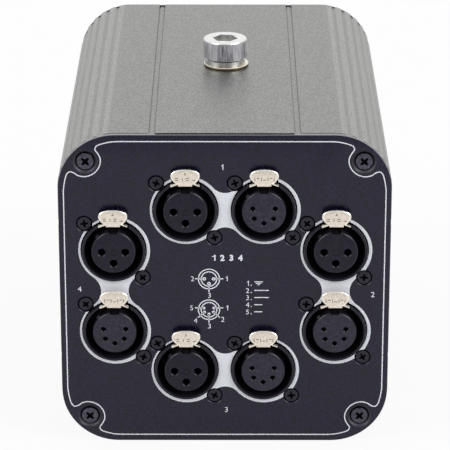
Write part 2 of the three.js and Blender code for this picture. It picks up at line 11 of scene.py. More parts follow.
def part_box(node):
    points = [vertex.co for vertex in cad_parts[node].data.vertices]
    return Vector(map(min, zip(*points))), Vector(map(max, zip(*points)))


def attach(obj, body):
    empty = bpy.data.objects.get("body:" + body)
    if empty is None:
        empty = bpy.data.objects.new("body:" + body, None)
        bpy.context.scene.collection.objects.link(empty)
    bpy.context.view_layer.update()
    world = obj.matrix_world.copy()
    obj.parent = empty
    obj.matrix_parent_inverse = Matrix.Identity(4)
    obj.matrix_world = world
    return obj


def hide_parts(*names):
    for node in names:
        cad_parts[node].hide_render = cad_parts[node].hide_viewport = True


bl_info = {
    "name": "DMX splitter",
    "version": (1, 0, 0),
    "blender": (4, 5, 0),
    "location": "View3D > Sidebar > Splitter",
    "description": "Builds a hanging DMX splitter with eight latching sockets",
    "category": "Add Mesh",
}

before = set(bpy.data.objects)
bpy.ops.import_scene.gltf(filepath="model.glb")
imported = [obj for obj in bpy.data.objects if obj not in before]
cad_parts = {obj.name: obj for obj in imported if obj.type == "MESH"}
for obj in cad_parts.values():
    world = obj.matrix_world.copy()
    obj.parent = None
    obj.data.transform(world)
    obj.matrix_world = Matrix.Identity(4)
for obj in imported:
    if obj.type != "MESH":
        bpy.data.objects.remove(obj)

MM = 0.001
PAST = 1 * MM  # how far a cutter reaches past a face
GAP = 0.3 * MM  # between pieces that fit into each other

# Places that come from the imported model
HOUSING_LOW, HOUSING_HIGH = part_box("housing")
PANEL_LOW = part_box("front_panel")[0]
REAR_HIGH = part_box("rear_panel")[1]
BODY_WIDTH = HOUSING_HIGH.x - HOUSING_LOW.x
BODY_HEIGHT = HOUSING_HIGH.z - HOUSING_LOW.z
PANEL_CENTRE = Vector((0, PANEL_LOW.y, BODY_HEIGHT / 2))
REAR_CENTRE = Vector((0, REAR_HIGH.y, BODY_HEIGHT / 2))
FRONT_PLACE = Matrix.Translation(PANEL_CENTRE)
REAR_PLACE = Matrix.Translation(REAR_CENTRE) @ Matrix.Rotation(math.pi, 4, "Z")
SOCKET_NAMES = [f"out{group}_{pins}pin" for group in (1, 2, 3, 4) for pins in (3, 5)]
ENDS = (("front", FRONT_PLACE), ("rear", REAR_PLACE))


def node_middle(node):
    """The middle of a node's box."""
    low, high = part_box(node)
    return (low + high) / 2


def socket_centre(name):
    """The middle of a socket on the panel's outer face, seen from the panel's own centre."""
    middle = node_middle(f"{name}_insert")
    return Vector((middle.x, 0, middle.z - PANEL_CENTRE.z))


def socket_place(name):
    """The place of a socket on the front panel's face."""
    return FRONT_PLACE @ Matrix.Translation(socket_centre(name))


def pins_of(name):
    """How many contacts a socket has."""
    return int(name[-4])


def rear_middle(node):
    """The middle of a rear connector, seen from the rear panel's centre."""
    return REAR_PLACE.inverted() @ node_middle(node)


# Colours


def linear(colour):
    """Turns an sRGB hex colour into linear values."""
    levels = [int(colour[place:place + 2], 16) / 255 for place in (1, 3, 5)]
    return [level / 12.92 if level <= 0.04045 else ((level + 0.055) / 1.055) ** 2.4
            for level in levels]


class HousingProperties(bpy.types.PropertyGroup):
    corner_radius: FloatProperty(
        name="Corner radius", description="Radius of the extrusion's round corners",
        default=19.8 * MM, unit="LENGTH")
    wall: FloatProperty(
        name="Wall", description="Thickness of the extrusion's wall",
        default=2.6 * MM, unit="LENGTH")
    groove_offset: FloatProperty(
        name="Groove offset", description="Distance of each groove from the middle of its side",
        default=24.7 * MM, unit="LENGTH")
    groove_width: FloatProperty(
        name="Groove width", description="Width of the grooves along the flat sides",
        default=2.2 * MM, unit="LENGTH")
    groove_depth: FloatProperty(
        name="Groove depth", description="Depth of the grooves along the flat sides",
        default=0.45 * MM, unit="LENGTH")
    lip: FloatProperty(
        name="Lip", description="Thickness of the lip round the rear panel",
        default=0.1 * MM, unit="LENGTH")
    ledge: FloatProperty(
        name="Ledge", description="Distance of the step under the lip from the outer face",
        default=1.2 * MM, unit="LENGTH")
    slit_width: FloatProperty(
        name="Slit width", description="Width of the slit along each side of a groove",
        default=0.36 * MM, unit="LENGTH")
    slit_depth: FloatProperty(
        name="Slit depth", description="Depth of the slits", default=0.85 * MM, unit="LENGTH")
    flute_count: IntProperty(
        name="Flutes", description="Number of flutes on each round corner", default=6, min=1)
    flute_width: FloatProperty(
        name="Flute width", description="Width of each flute", default=2.9 * MM, unit="LENGTH")
    flute_depth: FloatProperty(
        name="Flute depth", description="Depth of each flute", default=0.45 * MM, unit="LENGTH")
    flute_first_angle: FloatProperty(
        name="First flute", description="Angle from the start of the corner to the first flute",
        default=math.radians(15), subtype="ANGLE")
    edge: FloatProperty(
        name="Edge", description="Width of the deburred edge at each end",
        default=0.1 * MM, unit="LENGTH")
    colour: FloatVectorProperty(
        name="Colour", description="Colour of the anodised extrusion",
        default=linear("#8F8F8C"), subtype="COLOR", size=3, min=0, max=1)
    # Painted highlight: the ridges between the flutes are drawn brighter than the rest of the extrusion
    ridge_highlight_colour: FloatVectorProperty(
        name="Ridge colour", description="Colour of the ridges between the flutes",
        default=linear("#9D9D9A"), subtype="COLOR", size=3, min=0, max=1)


class PanelProperties(bpy.types.PropertyGroup):
    thickness: FloatProperty(
        name="Thickness", description="Thickness of the front panel's edge in front of the gap",
        default=0.55 * MM, unit="LENGTH")
    gap_width: FloatProperty(
        name="Gap width", description="Width of the gap behind that edge, between the grooves",
        default=1.3 * MM, unit="LENGTH")
    gap_depth: FloatProperty(
        name="Gap depth", description="Depth of that gap", default=0.9 * MM, unit="LENGTH")
    play: FloatProperty(
        name="Play", description="How far the front panel is smaller than the housing on each side",
        default=0.2 * MM, unit="LENGTH")
    rear_edge: FloatProperty(
        name="Rear edge", description="Thickness of the rear panel at its edge",
        default=1.2 * MM, unit="LENGTH")
    edge: FloatProperty(
        name="Edge", description="Width of the plates' rounded edge",
        default=0.15 * MM, unit="LENGTH")
    hole_radius: FloatProperty(
        name="Hole radius", description="Radius of the hole round each socket",
        default=11.4 * MM, unit="LENGTH")
    hole_rise: FloatProperty(
        name="Hole rise", description="How far the holes are cut above the sockets' centres",
        default=0.15 * MM, unit="LENGTH")
    slot_width: FloatProperty(
        name="Slot width", description="Width of the slot for each latch",
        default=9.5 * MM, unit="LENGTH")
    slot_top: FloatProperty(
        name="Slot top", description="Height of the latch slot over the socket's centre",
        default=13.1 * MM, unit="LENGTH")
    colour: FloatVectorProperty(
        name="Colour", description="Colour of the black anodised plates",
        default=linear("#100C26"), subtype="COLOR", size=3, min=0, max=1)
    # Painted highlight: the plates' rim is drawn as lighter metal, for the sheen that their edges catch
    rim_highlight_colour: FloatVectorProperty(
        name="Rim colour", description="Colour of the machined rim of the plates",
        default=linear("#9A9A9E"), subtype="COLOR", size=3, min=0, max=1)


class PrintProperties(bpy.types.PropertyGroup):
    thickness: FloatProperty(
        name="Thickness", description="Thickness of the ink", default=0.04 * MM, unit="LENGTH")
    ring_radius: FloatProperty(
        name="Ring radius", description="Outer radius of the ring round each socket",
        default=12.32 * MM, unit="LENGTH")
    shift: FloatProperty(
        name="Shift", description="How far the rings are printed to the right of the sockets",
        default=0.2 * MM, unit="LENGTH")
    rise: FloatProperty(
        name="Rise", description="How far the diagrams are printed above the panel's middle",
        default=0.27 * MM, unit="LENGTH")
    spread: FloatProperty(
        name="Spread", description="Height of the printed layout as a share of the sockets' layout",
        default=1.006)
    screw_surround: FloatProperty(
        name="Screw surround", description="Radius left bare round each socket screw",
        default=2.85 * MM, unit="LENGTH")
    upper_waist: FloatProperty(
        name="Upper waist", description="Height of the bridge in the upper and lower pairs",
        default=12.5 * MM, unit="LENGTH")
    side_waist: FloatProperty(
        name="Side waist", description="Width of the bridge in the side pairs",
        default=9.5 * MM, unit="LENGTH")
    border_width: FloatProperty(
        name="Border width", description="Width of the border line",
        default=0.37 * MM, unit="LENGTH")
    stroke: FloatProperty(
        name="Stroke", description="Width of the lines in the pin diagrams",
        default=0.36 * MM, unit="LENGTH")
    colour: FloatVectorProperty(
        name="Colour", description="Colour of the screen-printed ink",
        default=linear("#F4F6FE"), subtype="COLOR", size=3, min=0, max=1)


class SocketProperties(bpy.types.PropertyGroup):
    collar_radius: FloatProperty(
        name="Collar radius", description="Outer radius of the collar",
        default=11.0 * MM, unit="LENGTH")
    cavity_radius: FloatProperty(
        name="Cavity radius", description="Inner radius of the collar",
        default=10.05 * MM, unit="LENGTH")
    collar_proud: FloatProperty(
        name="Collar proud", description="How far the collar stands out of the panel",
        default=1.2 * MM, unit="LENGTH")
    cavity_depth: FloatProperty(
        name="Cavity depth", description="Depth of the ring-shaped cavity",
        default=14.0 * MM, unit="LENGTH")
    insert_radius: FloatProperty(
        name="Insert radius", description="Radius of the insert that holds the contacts",
        default=7.6 * MM, unit="LENGTH")
    insert_proud: FloatProperty(
        name="Insert proud", description="How far the insert stands out of the panel",
        default=1.9 * MM, unit="LENGTH")
    pin_circle_radius: FloatProperty(
        name="Pin circle", description="Radius of the circle that the pin holes lie on",
        default=4.05 * MM, unit="LENGTH")
    three_pin_radius: FloatProperty(
        name="3-pin hole", description="Radius of the holes of a 3-pin socket",
        default=1.3 * MM, unit="LENGTH")
    five_pin_radius: FloatProperty(
        name="5-pin hole", description="Radius of the holes of a 5-pin socket",
        default=0.8 * MM, unit="LENGTH")
    lug_offset: FloatProperty(
        name="Screw offset", description="Distance of each screw from the socket's centre lines",
        default=9.9 * MM, unit="LENGTH")
    shell_colour: FloatVectorProperty(
        name="Shell colour", description="Colour of the shell's plastic",
        default=linear("#110E1F"), subtype="COLOR", size=3, min=0, max=1)
    three_pin_colour: FloatVectorProperty(
        name="3-pin insert", description="Colour of the plastic of the 3-pin inserts",
        default=linear("#130F20"), subtype="COLOR", size=3, min=0, max=1)
    five_pin_colour: FloatVectorProperty(
        name="5-pin insert", description="Colour of the plastic of the 5-pin inserts",
        default=linear("#2D2B39"), subtype="COLOR", size=3, min=0, max=1)


class LatchProperties(bpy.types.PropertyGroup):
    tab_thickness: FloatProperty(
        name="Tab thickness", description="Thickness of the tab", default=1.2 * MM, unit="LENGTH")
    neck_width: FloatProperty(
        name="Neck width", description="Width of the neck under the tab",
        default=4.8 * MM, unit="LENGTH")
    colour: FloatVectorProperty(
        name="Colour", description="Colour of the nickel-plated latch",
        default=linear("#F0E6D7"), subtype="COLOR", size=3, min=0, max=1)


class ScrewProperties(bpy.types.PropertyGroup):
    socket_head_radius: FloatProperty(
        name="Socket screw head", description="Head radius of the socket screws",
        default=2.4 * MM, unit="LENGTH")
    corner_head_radius: FloatProperty(
        name="Corner screw head", description="Head radius of the corner screws",
        default=2.95 * MM, unit="LENGTH")
    corner_inset: FloatProperty(
        name="Corner inset", description="Distance of the corner screws from the plate's edges",
        default=9.7 * MM, unit="LENGTH")
    colour: FloatVectorProperty(
        name="Colour", description="Colour of the blackened screws",
        default=linear("#3B3A42"), subtype="COLOR", size=3, min=0, max=1)
    corner_colour: FloatVectorProperty(
        name="Corner colour", description="Colour of the corner screws",
        default=linear("#514F5A"), subtype="COLOR", size=3, min=0, max=1)


class BoltProperties(bpy.types.PropertyGroup):
    radius: FloatProperty(
        name="Radius", description="Radius of the bolt's shank", default=5.0 * MM, unit="LENGTH")
    head_radius: FloatProperty(
        name="Head radius", description="Radius of the knurled head",
        default=7.9 * MM, unit="LENGTH")
    knurl_count: IntProperty(
        name="Knurls", description="Number of knurls round the head", default=90, min=8)
    hex_across_flats: FloatProperty(
        name="Hexagon", description="Size of the hexagon socket across its flats",
        default=8.0 * MM, unit="LENGTH")
    hex_depth: FloatProperty(
        name="Hexagon depth", description="Depth of the hexagon socket",
        default=4.8 * MM, unit="LENGTH")
    colour: FloatVectorProperty(
        name="Colour", description="Colour of the zinc plating",
        default=linear("#E4E4E2"), subtype="COLOR", size=3, min=0, max=1)
    # Painted shade: the plating in the knurls is streaked darker for the shade in their crevices
    knurl_shade_colour: FloatVectorProperty(
        name="Knurl colour", description="Colour of the zinc plating in the knurls",
        default=linear("#E3E3E9"), subtype="COLOR", size=3, min=0, max=1)


class StageProperties(bpy.types.PropertyGroup):
    lens: FloatProperty(
        name="Lens", description="Focal length of the camera, in millimetres on a 36 mm sensor",
        default=212.2)
    distance: FloatProperty(
        name="Distance", description="Distance from the camera to its target",
        default=906.3 * MM, unit="LENGTH")
    elevation: FloatProperty(
        name="Elevation", description="How steeply the camera looks down",
        default=math.radians(20.842), subtype="ANGLE")
    azimuth: FloatProperty(
        name="Azimuth", description="How far the camera is turned round the object",
        default=math.radians(0.11), subtype="ANGLE")
    floor_colour: FloatVectorProperty(
        name="Floor colour", description="Colour of the floor", default=linear("#F2F2F2"),
        subtype="COLOR", size=3, min=0, max=1)


class SplitterProperties(bpy.types.PropertyGroup):
    housing: PointerProperty(type=HousingProperties)
    panel: PointerProperty(type=PanelProperties)
    marks: PointerProperty(type=PrintProperties)
    socket: PointerProperty(type=SocketProperties)
    latch: PointerProperty(type=LatchProperties)
    screw: PointerProperty(type=ScrewProperties)
    bolt: PointerProperty(type=BoltProperties)
    stage: PointerProperty(type=StageProperties)


# Outlines are lists of (x, z) points, anticlockwise


def arc(centre, radius, start, end, steps):
    """Points of an arc, with both of its ends."""
    angles = [start + (end - start) * step / steps for step in range(steps + 1)]
    return [(centre[0] + radius * math.cos(a), centre[1] + radius * math.sin(a)) for a in angles]


def circle(centre, radius, steps=48):
    """Points of a whole circle."""
    return arc(centre, radius, 0, 2 * math.pi, steps)[:-1]


def rounded_rectangle(width, height, radius, steps=8, centre=(0, 0)):
    """Points of a rectangle with round corners."""
    points = []
    for turn, (side_x, side_z) in enumerate([(1, 1), (-1, 1), (-1, -1), (1, -1)]):
        corner = (centre[0] + side_x * (width / 2 - radius), centre[1] + side_z * (height / 2 - radius))
        points += arc(corner, radius, turn * math.pi / 2, (turn + 1) * math.pi / 2, steps)
    return points


def drawn_in(outline, inset):
    """The outline with each side moved inwards by inset."""
    moved = []
    count = len(outline)
    for index, point in enumerate(outline):
        here = Vector(point)
        before = (here - Vector(outline[index - 1])).normalized()
        after = (Vector(outline[(index + 1) % count]) - here).normalized()
        inward = Vector((-before.y - after.y, before.x + after.x))
        if inward.length < 1e-6:
            moved.append(point)
            continue
        inward.normalize()
        share = max(0.35, inward.dot(Vector((-before.y, before.x))))
        moved.append(tuple(here + inward * (inset / share)))
    return moved


# Meshes


def ring_of(mesh, outline, depth):
    """A ring of vertices along an outline at one depth."""
    return [mesh.verts.new((x, depth, z)) for x, z in outline]


def join_rings(mesh, first, second):
    """Faces between two rings of the same length."""
    count = len(first)
    for index in range(count):
        after = (index + 1) % count
        mesh.faces.new((first[index], first[after], second[after], second[index]))


def prism(outline, stations, holes=()):
    """A closed solid along Y. Each station is a depth and how far the outline is drawn in there."""
    mesh = bmesh.new()
    ends = {0: [], -1: []}
    for loop, way in [(outline, 1)] + [(hole, -1) for hole in holes]:
        rings = [ring_of(mesh, drawn_in(loop, inset * way), depth) for depth, inset in stations]
        for first, second in zip(rings, rings[1:]):
            join_rings(mesh, first, second)
        for end in ends:
            ends[end].append(rings[end])
    for rings in ends.values():
        if len(rings) == 1:
            mesh.faces.new(rings[0])
            continue
        edges = []
        for ring in rings:
            pairs = zip(ring, ring[1:] + ring[:1])
            edges += [mesh.edges.get(pair) for pair in pairs]
        bmesh.ops.triangle_fill(mesh, edges=edges, use_beauty=True)
    bmesh.ops.recalc_face_normals(mesh, faces=mesh.faces)
    return mesh


def turned(profile, sides=48, closed=False):
    """A solid turned about Y from (radius, depth) points. A closed profile makes a ring."""
    mesh = bmesh.new()
    rings = []
    for radius, depth in profile:
        if radius <= 0:
            rings.append([mesh.verts.new((0, depth, 0))])
        else:
            rings.append(ring_of(mesh, circle((0, 0), radius, sides), depth))
    pairs = list(zip(rings, rings[1:]))
    if closed:
        pairs.append((rings[-1], rings[0]))
    for first, second in pairs:
        if len(first) == 1 or len(second) == 1:
            tip, ring = (first[0], second) if len(first) == 1 else (second[0], first)
            for index in range(len(ring)):
                mesh.faces.new((tip, ring[index], ring[(index + 1) % len(ring)]))
        else:
            join_rings(mesh, first, second)
    bmesh.ops.recalc_face_normals(mesh, faces=mesh.faces)
    return mesh


def box_mesh(low, high):
    """A box between two corners."""
    outline = [(low[0], low[2]), (high[0], low[2]), (high[0], high[2]), (low[0], high[2])]
    return prism(outline, [(low[1], 0), (high[1], 0)])


def centred_box(half, front, back, bottom, top):
    """A box that lies evenly to the left and right, between two depths and two heights."""
    return box_mesh((-half, front, bottom), (half, back, top))


def rod(radius, start, end, sides=48):
    """A round rod along Y between two depths."""
    return turned([(0, start), (radius, start), (radius, end), (0, end)], sides)


def cutter_through(outline, depth):
    """A cutter of that outline for a plate of that depth."""
    return prism(outline, [(-PAST, 0), (depth + PAST, 0)])


def placed(mesh, matrix):
    """The same mesh, moved."""
    mesh.transform(matrix)
    return mesh


def shifted(mesh, x=0, y=0, z=0):
    """The same mesh, moved by a distance."""
    return placed(mesh, Matrix.Translation((x, y, z)))


def gathered(meshes):
    """One mesh that holds several."""
    whole = bmesh.new()
    for mesh in meshes:
        data = bpy.data.meshes.new("part")
        mesh.to_mesh(data)
        mesh.free()
        whole.from_mesh(data)
        bpy.data.meshes.remove(data)
    return whole


def as_object(mesh, name):
    """An object of that mesh, in the scene."""
    data = bpy.data.meshes.new(name)
    mesh.to_mesh(data)
    mesh.free()
    made = bpy.data.objects.new(name, data)
    bpy.context.scene.collection.objects.link(made)
    return made


def applied(obj):
    """The mesh of an object with its modifiers applied. The object is removed."""
    graph = bpy.context.evaluated_depsgraph_get()
    data = bpy.data.meshes.new_from_object(obj.evaluated_get(graph))
    mesh = bmesh.new()
    mesh.from_mesh(data)
    old = obj.data
    bpy.data.objects.remove(obj)
    bpy.data.meshes.remove(old)
    bpy.data.meshes.remove(data)
    return mesh


def combined(mesh, others, operation):
    """The mesh joined with the others, or with the others cut out of it."""
    for other in others:
        target = as_object(mesh, "target")
        tool = as_object(other, "tool")
        boolean = target.modifiers.new("cut", "BOOLEAN")
        boolean.object = tool
        boolean.operation = operation
        boolean.solver = "MANIFOLD"
        mesh = applied(target)
        data = tool.data
        bpy.data.objects.remove(tool)
        bpy.data.meshes.remove(data)
    return mesh


def sharpened(mesh, angle=math.radians(32)):
    """Marks faces as smooth, and the edges over that angle as sharp."""
    for face in mesh.faces:
        face.smooth = True
    for edge in mesh.edges:
        edge.smooth = edge.is_manifold and edge.calc_face_angle(0) < angle
    return mesh


def refaced(made, finish, chosen):
    """Gives the faces that chosen() picks another finish."""
    made.data.materials.append(finish)
    index = len(made.data.materials) - 1
    for face in made.data.polygons:
        if chosen(face):
            face.material_index = index


def piece(mesh, name, finish, body, nodes):
    """An object of that mesh with its finish. It rides on the body and stands for the nodes."""
    made = as_object(sharpened(mesh), name)
    made.data.materials.append(finish)
    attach(made, body)
    if nodes:
        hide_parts(*nodes)
    return made


# Materials


def add_node(tree, kind, settings=(), links=()):
    """Adds a node. Settings are attributes or inputs by name, and links lead outputs to its inputs."""
    made = tree.nodes.new(kind)
    for name, value in dict(settings).items():
        if isinstance(name, int) or name in made.inputs:
            made.inputs[name].default_value = value
        else:
            setattr(made, name, value)
    for name, source in dict(links).items():
        tree.links.new(source, made.inputs[name])
    return made


def new_material(name):
    """An empty node material."""
    material = bpy.data.materials.new(name)
    material.use_nodes = True
    material.node_tree.nodes.clear()
    return material, material.node_tree


def finished(tree, shader):
    """Leads the shader to the material's output."""
    add_node(tree, "ShaderNodeOutputMaterial", links={"Surface": shader.outputs[0]})


def shades(colour, darker, lighter):
    """The colour, and two shades of it as RGBA."""
    low = [level * darker for level in colour] + [1]
    high = [min(1, level * lighter) for level in colour] + [1]
    return low, high


def grain_nodes(tree, colour, grain, darker, lighter, detail=2, stretch=(1, 1, 1), spread=0.2):
    """A noise of that grain and the colour that it mottles. A stretch below 1 draws it out that way."""
    place = add_node(tree, "ShaderNodeTexCoord")
    drawn = add_node(tree, "ShaderNodeMapping", {"Scale": stretch},
                     {"Vector": place.outputs["Object"]})
    noise = add_node(tree, "ShaderNodeTexNoise", {"Scale": 1 / grain, "Detail": detail},
                     {"Vector": drawn.outputs[0]})
    # Noise keeps near its middle, so that is stretched to the whole range
    grains = add_node(tree, "ShaderNodeMapRange", {"From Min": 0.5 - spread, "From Max": 0.5 + spread},
                      {"Value": noise.outputs["Fac"]})
    low, high = shades(colour, darker, lighter)
    mottle = add_node(tree, "ShaderNodeMix", {"data_type": "RGBA", 6: low, 7: high},
                      {0: grains.outputs[0]})
    return grains, mottle


def pitted_surface(tree, grains, tint, roughness, relief, pit, settings):
    """Ends a material whose grains pit its surface, and lead its roughness between two values."""
    bump = add_node(tree, "ShaderNodeBump", {"Strength": relief, "Distance": pit},
                    {"Height": grains.outputs[0]})
    rough = add_node(tree, "ShaderNodeMapRange", {"To Min": roughness[0], "To Max": roughness[1]},
                     {"Value": grains.outputs[0]})
    shader = add_node(tree, "ShaderNodeBsdfPrincipled", settings,
                      {"Base Color": tint.outputs[2], "Roughness": rough.outputs[0],
                       "Normal": bump.outputs[0]})
    finished(tree, shader)


def even_surface(tree, tint, settings):
    """Ends a material whose surface has no relief."""
    finished(tree, add_node(tree, "ShaderNodeBsdfPrincipled", settings,
                            {"Base Color": tint.outputs[2]}))


def blasted_aluminium(name, colour):
    """Extruded aluminium, bead-blasted and anodised: a soft sheen with a fine sparkling grain."""
    material, tree = new_material(name)
    # The beads leave pits of 0.1 mm, drawn at 0.45 mm so that they show, and longer along the extrusion
    grains, mottle = grain_nodes(tree, colour, 0.45 * MM, 0.72, 1.26, 1, (1, 0.45, 1), 0.14)
    # The dye takes unevenly over some 6 mm
    place = add_node(tree, "ShaderNodeTexCoord")
    cloud = add_node(tree, "ShaderNodeTexNoise", {"Scale": 1 / (6 * MM), "Detail": 2},
                     {"Vector": place.outputs["Object"]})
    clouded = add_node(tree, "ShaderNodeMix", {"data_type": "RGBA", "blend_type": "MULTIPLY",
                                               7: (0.93, 0.93, 0.94, 1)},
                       {0: cloud.outputs["Fac"], 6: mottle.outputs[2]})
    pitted_surface(tree, grains, clouded, (0.35, 0.45), 0.25, 0.03 * MM, {"Metallic": 1.0})
    return material


def black_anodised(colour):
    """Aluminium plate, anodised black: its dark oxide skin mirrors its surroundings softly."""
    material, tree = new_material("black_anodised_plate")
    # Etching leaves a grain finer than 0.1 mm, drawn at 0.8 mm so that it shows
    grains, mottle = grain_nodes(tree, colour, 0.8 * MM, 0.3, 1.7, 1)
    pitted_surface(tree, grains, mottle, (0.24, 0.32), 0.2, 0.03 * MM,
                   {"IOR": 1.5, "Specular IOR Level": 0.4})
    return material


def printed_ink(colour):
    """Screen-printed ink: an opaque matt film, with the faint grain of the mesh it went through."""
    material, tree = new_material("screen_printed_ink")
    # The threads of such a mesh lie some 0.1 mm apart, drawn at 0.6 mm so that they show
    grains, mottle = grain_nodes(tree, colour, 0.6 * MM, 0.95, 1.03)
    bump = add_node(tree, "ShaderNodeBump", {"Strength": 0.15, "Distance": 0.02 * MM},
                    {"Height": grains.outputs[0]})
    shader = add_node(tree, "ShaderNodeBsdfPrincipled", {"Roughness": 0.65, "IOR": 1.48},
                      {"Base Color": mottle.outputs[2], "Normal": bump.outputs[0]})
    finished(tree, shader)
    return material


# Spark erosion and tumbling leave a grain finer than 0.1 mm. On the nylon and the plated metal it is
# drawn as coarse as each piece needs to show it, from 0.5 to 1.5 mm


def moulded_plastic(name, colour, roughness, grain, contrast=0.65):
    """Glass-filled nylon, injection-moulded: a satin surface with the mould's spark-eroded grain."""
    material, tree = new_material(name)
    grains, mottle = grain_nodes(tree, colour, grain, 1 - contrast, 1 + contrast, 1)
    pitted_surface(tree, grains, mottle, (roughness - 0.05, roughness + 0.07), 0.4, 0.03 * MM,
                   {"IOR": 1.53, "Specular IOR Level": 0.25})
    return material


def polished_plastic(colour):
    """The same nylon on its rims, where the mould's edges are polished: they catch the lamps."""
    material, tree = new_material("polished_nylon_rim")
    mottle = grain_nodes(tree, colour, 0.9 * MM, 0.6, 1.3)[1]
    even_surface(tree, mottle, {"IOR": 1.53, "Specular IOR Level": 0.4, "Roughness": 0.27})
    return material


def painted_shade_plastic(name, colour):
    """Nylon or oxide deep in the hollows, painted a rough, coarse-grained black: painted shade where
    little light reaches.
    """
    material, tree = new_material(name)
    mottle = grain_nodes(tree, colour, 0.5 * MM, 0.5, 1.3)[1]
    even_surface(tree, mottle, {"IOR": 1.53, "Specular IOR Level": 0.2, "Roughness": 0.7})
    return material


def plated_metal(name, colour, roughness, grain, darker=0.85, lighter=1.08, relief=0.3,
                 stretch=(1, 1, 1)):
    """Plated metal: a bright warm or cool skin, clouded by the plating bath and pitted by tumbling."""
    material, tree = new_material(name)
    grains, mottle = grain_nodes(tree, colour, grain, darker, lighter, 4, stretch)
    pitted_surface(tree, grains, mottle, (roughness - 0.06, roughness + 0.08), relief, 0.04 * MM,
                   {"Metallic": 1.0})
    return material


def circuit_board():
    """Glass-epoxy board under green solder mask: glossy, with paler tracks showing through."""
    material, tree = new_material("solder_masked_board")
    mottle = grain_nodes(tree, linear("#1F5A33"), 1.5 * MM, 0.8, 1.2)[1]
    # The tracks run round fields of some 4 mm
    place = add_node(tree, "ShaderNodeTexCoord")
    tracks = add_node(tree, "ShaderNodeTexVoronoi", {"distance": "MANHATTAN", "Scale": 1 / (4 * MM)},
                      {"Vector": place.outputs["Object"]})
    cover = add_node(tree, "ShaderNodeMapRange", {"From Min": 0.42, "From Max": 0.46},
                     {"Value": tracks.outputs["Distance"]})
    tint = add_node(tree, "ShaderNodeMix", {"data_type": "RGBA", 7: linear("#3C7A49") + [1]},
                    {0: cover.outputs[0], 6: mottle.outputs[2]})
    even_surface(tree, tint, {"Roughness": 0.3, "IOR": 1.55})
    return material


def background_rays(tree):
    """A node that is 1 for rays from the camera or through glass, and a half for mirrored ones."""
    rays = add_node(tree, "ShaderNodeLightPath")
    seen = add_node(tree, "ShaderNodeMath", {"operation": "MAXIMUM"},
                    {0: rays.outputs["Is Camera Ray"], 1: rays.outputs["Is Transmission Ray"]})
    mirrored = add_node(tree, "ShaderNodeMath", {"operation": "MULTIPLY", 1: 0.5},
                        {0: rays.outputs["Is Glossy Ray"]})
    return add_node(tree, "ShaderNodeMath", {"operation": "MAXIMUM"},
                    {0: seen.outputs[0], 1: mirrored.outputs[0]})


def pale_floor(colour):
    """A plain matt table top, which the camera sees as almost white."""
    material, tree = new_material("matt_table")
    sheet = add_node(tree, "ShaderNodeBsdfDiffuse", {"Color": list(colour) + [1]})
    white = add_node(tree, "ShaderNodeEmission", {"Color": (1, 1, 1, 1), "Strength": 1.0})
    # The rest of the look comes from the table itself, so it keeps the shadow
    share = add_node(tree, "ShaderNodeMath", {"operation": "MULTIPLY", 1: 0.9},
                     {0: background_rays(tree).outputs[0]})
    mixed = add_node(tree, "ShaderNodeMixShader",
                     links={0: share.outputs[0], 1: sheet.outputs[0], 2: white.outputs[0]})
    finished(tree, mixed)
    return material


FINISHES = {}


def finish_of(name, maker, *values):
    """The material of that name, made once."""
    if name not in FINISHES:
        FINISHES[name] = maker(*values)
    return FINISHES[name]


def black_plate():
    """The finish of both end plates."""
    return finish_of("plate", black_anodised, bpy.context.scene.splitter.panel.colour)


def black_nylon():
    """The finish of the shells of all sockets, and of the mains inlet."""
    colour = bpy.context.scene.splitter.socket.shell_colour
    return finish_of("shell", moulded_plastic, "moulded_nylon_black", colour, 0.33, 0.7 * MM)


def black_oxide():
    """The finish of all screws but those at the corners of the plates."""
    colour = bpy.context.scene.splitter.screw.colour
    return finish_of("screw", plated_metal, "black_oxide_steel", colour, 0.42, 0.5 * MM)


def silver_plating():
    """The finish of the pins and blades at the rear."""
    return finish_of("silver", plated_metal, "silver_plated_brass", linear("#D8D4C8"), 0.25, 1 * MM)


# Housing


def side_point(turn, reach, along, outward):
    """A point on one side of the profile: along it, and outward from its face."""
    normal = (round(math.cos(turn)), round(math.sin(turn)))
    distance = reach + outward
    return (normal[0] * distance - normal[1] * along, normal[1] * distance + normal[0] * along)


def outward_of(point):
    """How far a point lies outside the housing's rounded outline, less than 0 inside it."""
    radius = bpy.context.scene.splitter.housing.corner_radius
    x = max(abs(point.x) - BODY_WIDTH / 2 + radius, 0)
    z = max(abs(point.z - BODY_HEIGHT / 2) - BODY_HEIGHT / 2 + radius, 0)
    return math.hypot(x, z) - radius


def groove_points(look, turn, reach, middle):
    """The points of one groove: broken edges, and a narrow slit along each side of its floor."""
    half = look.groove_width / 2
    broken = look.edge / 2
    inner = half - look.slit_width
    steps = [(-half - broken, 0), (-half, -broken), (-half, -look.slit_depth),
             (-inner, -look.slit_depth), (-inner, -look.groove_depth), (inner, -look.groove_depth),
             (inner, -look.slit_depth), (half, -look.slit_depth), (half, -broken),
             (half + broken, 0)]
    return [side_point(turn, reach, middle + step, outward) for step, outward in steps]


def fluted_corner(look, centre, start):
    """The points of one round corner with its flutes."""
    points = []
    half = look.flute_width / 2 / look.corner_radius
    pitch = (math.pi / 2 - 2 * look.flute_first_angle) / (look.flute_count - 1)
    begin = start
    for index in range(look.flute_count):
        middle = start + look.flute_first_angle + index * pitch
        points += arc(centre, look.corner_radius, begin, middle - half, 3)
        for share in (-0.75, -0.5, -0.25, 0, 0.25, 0.5, 0.75):
            depth = look.flute_depth * (1 + math.cos(math.pi * share)) / 2
            angle = middle + half * share
            points.append((centre[0] + (look.corner_radius - depth) * math.cos(angle),
                           centre[1] + (look.corner_radius - depth) * math.sin(angle)))
        begin = middle + half
    return points + arc(centre, look.corner_radius, begin, start + math.pi / 2, 3)


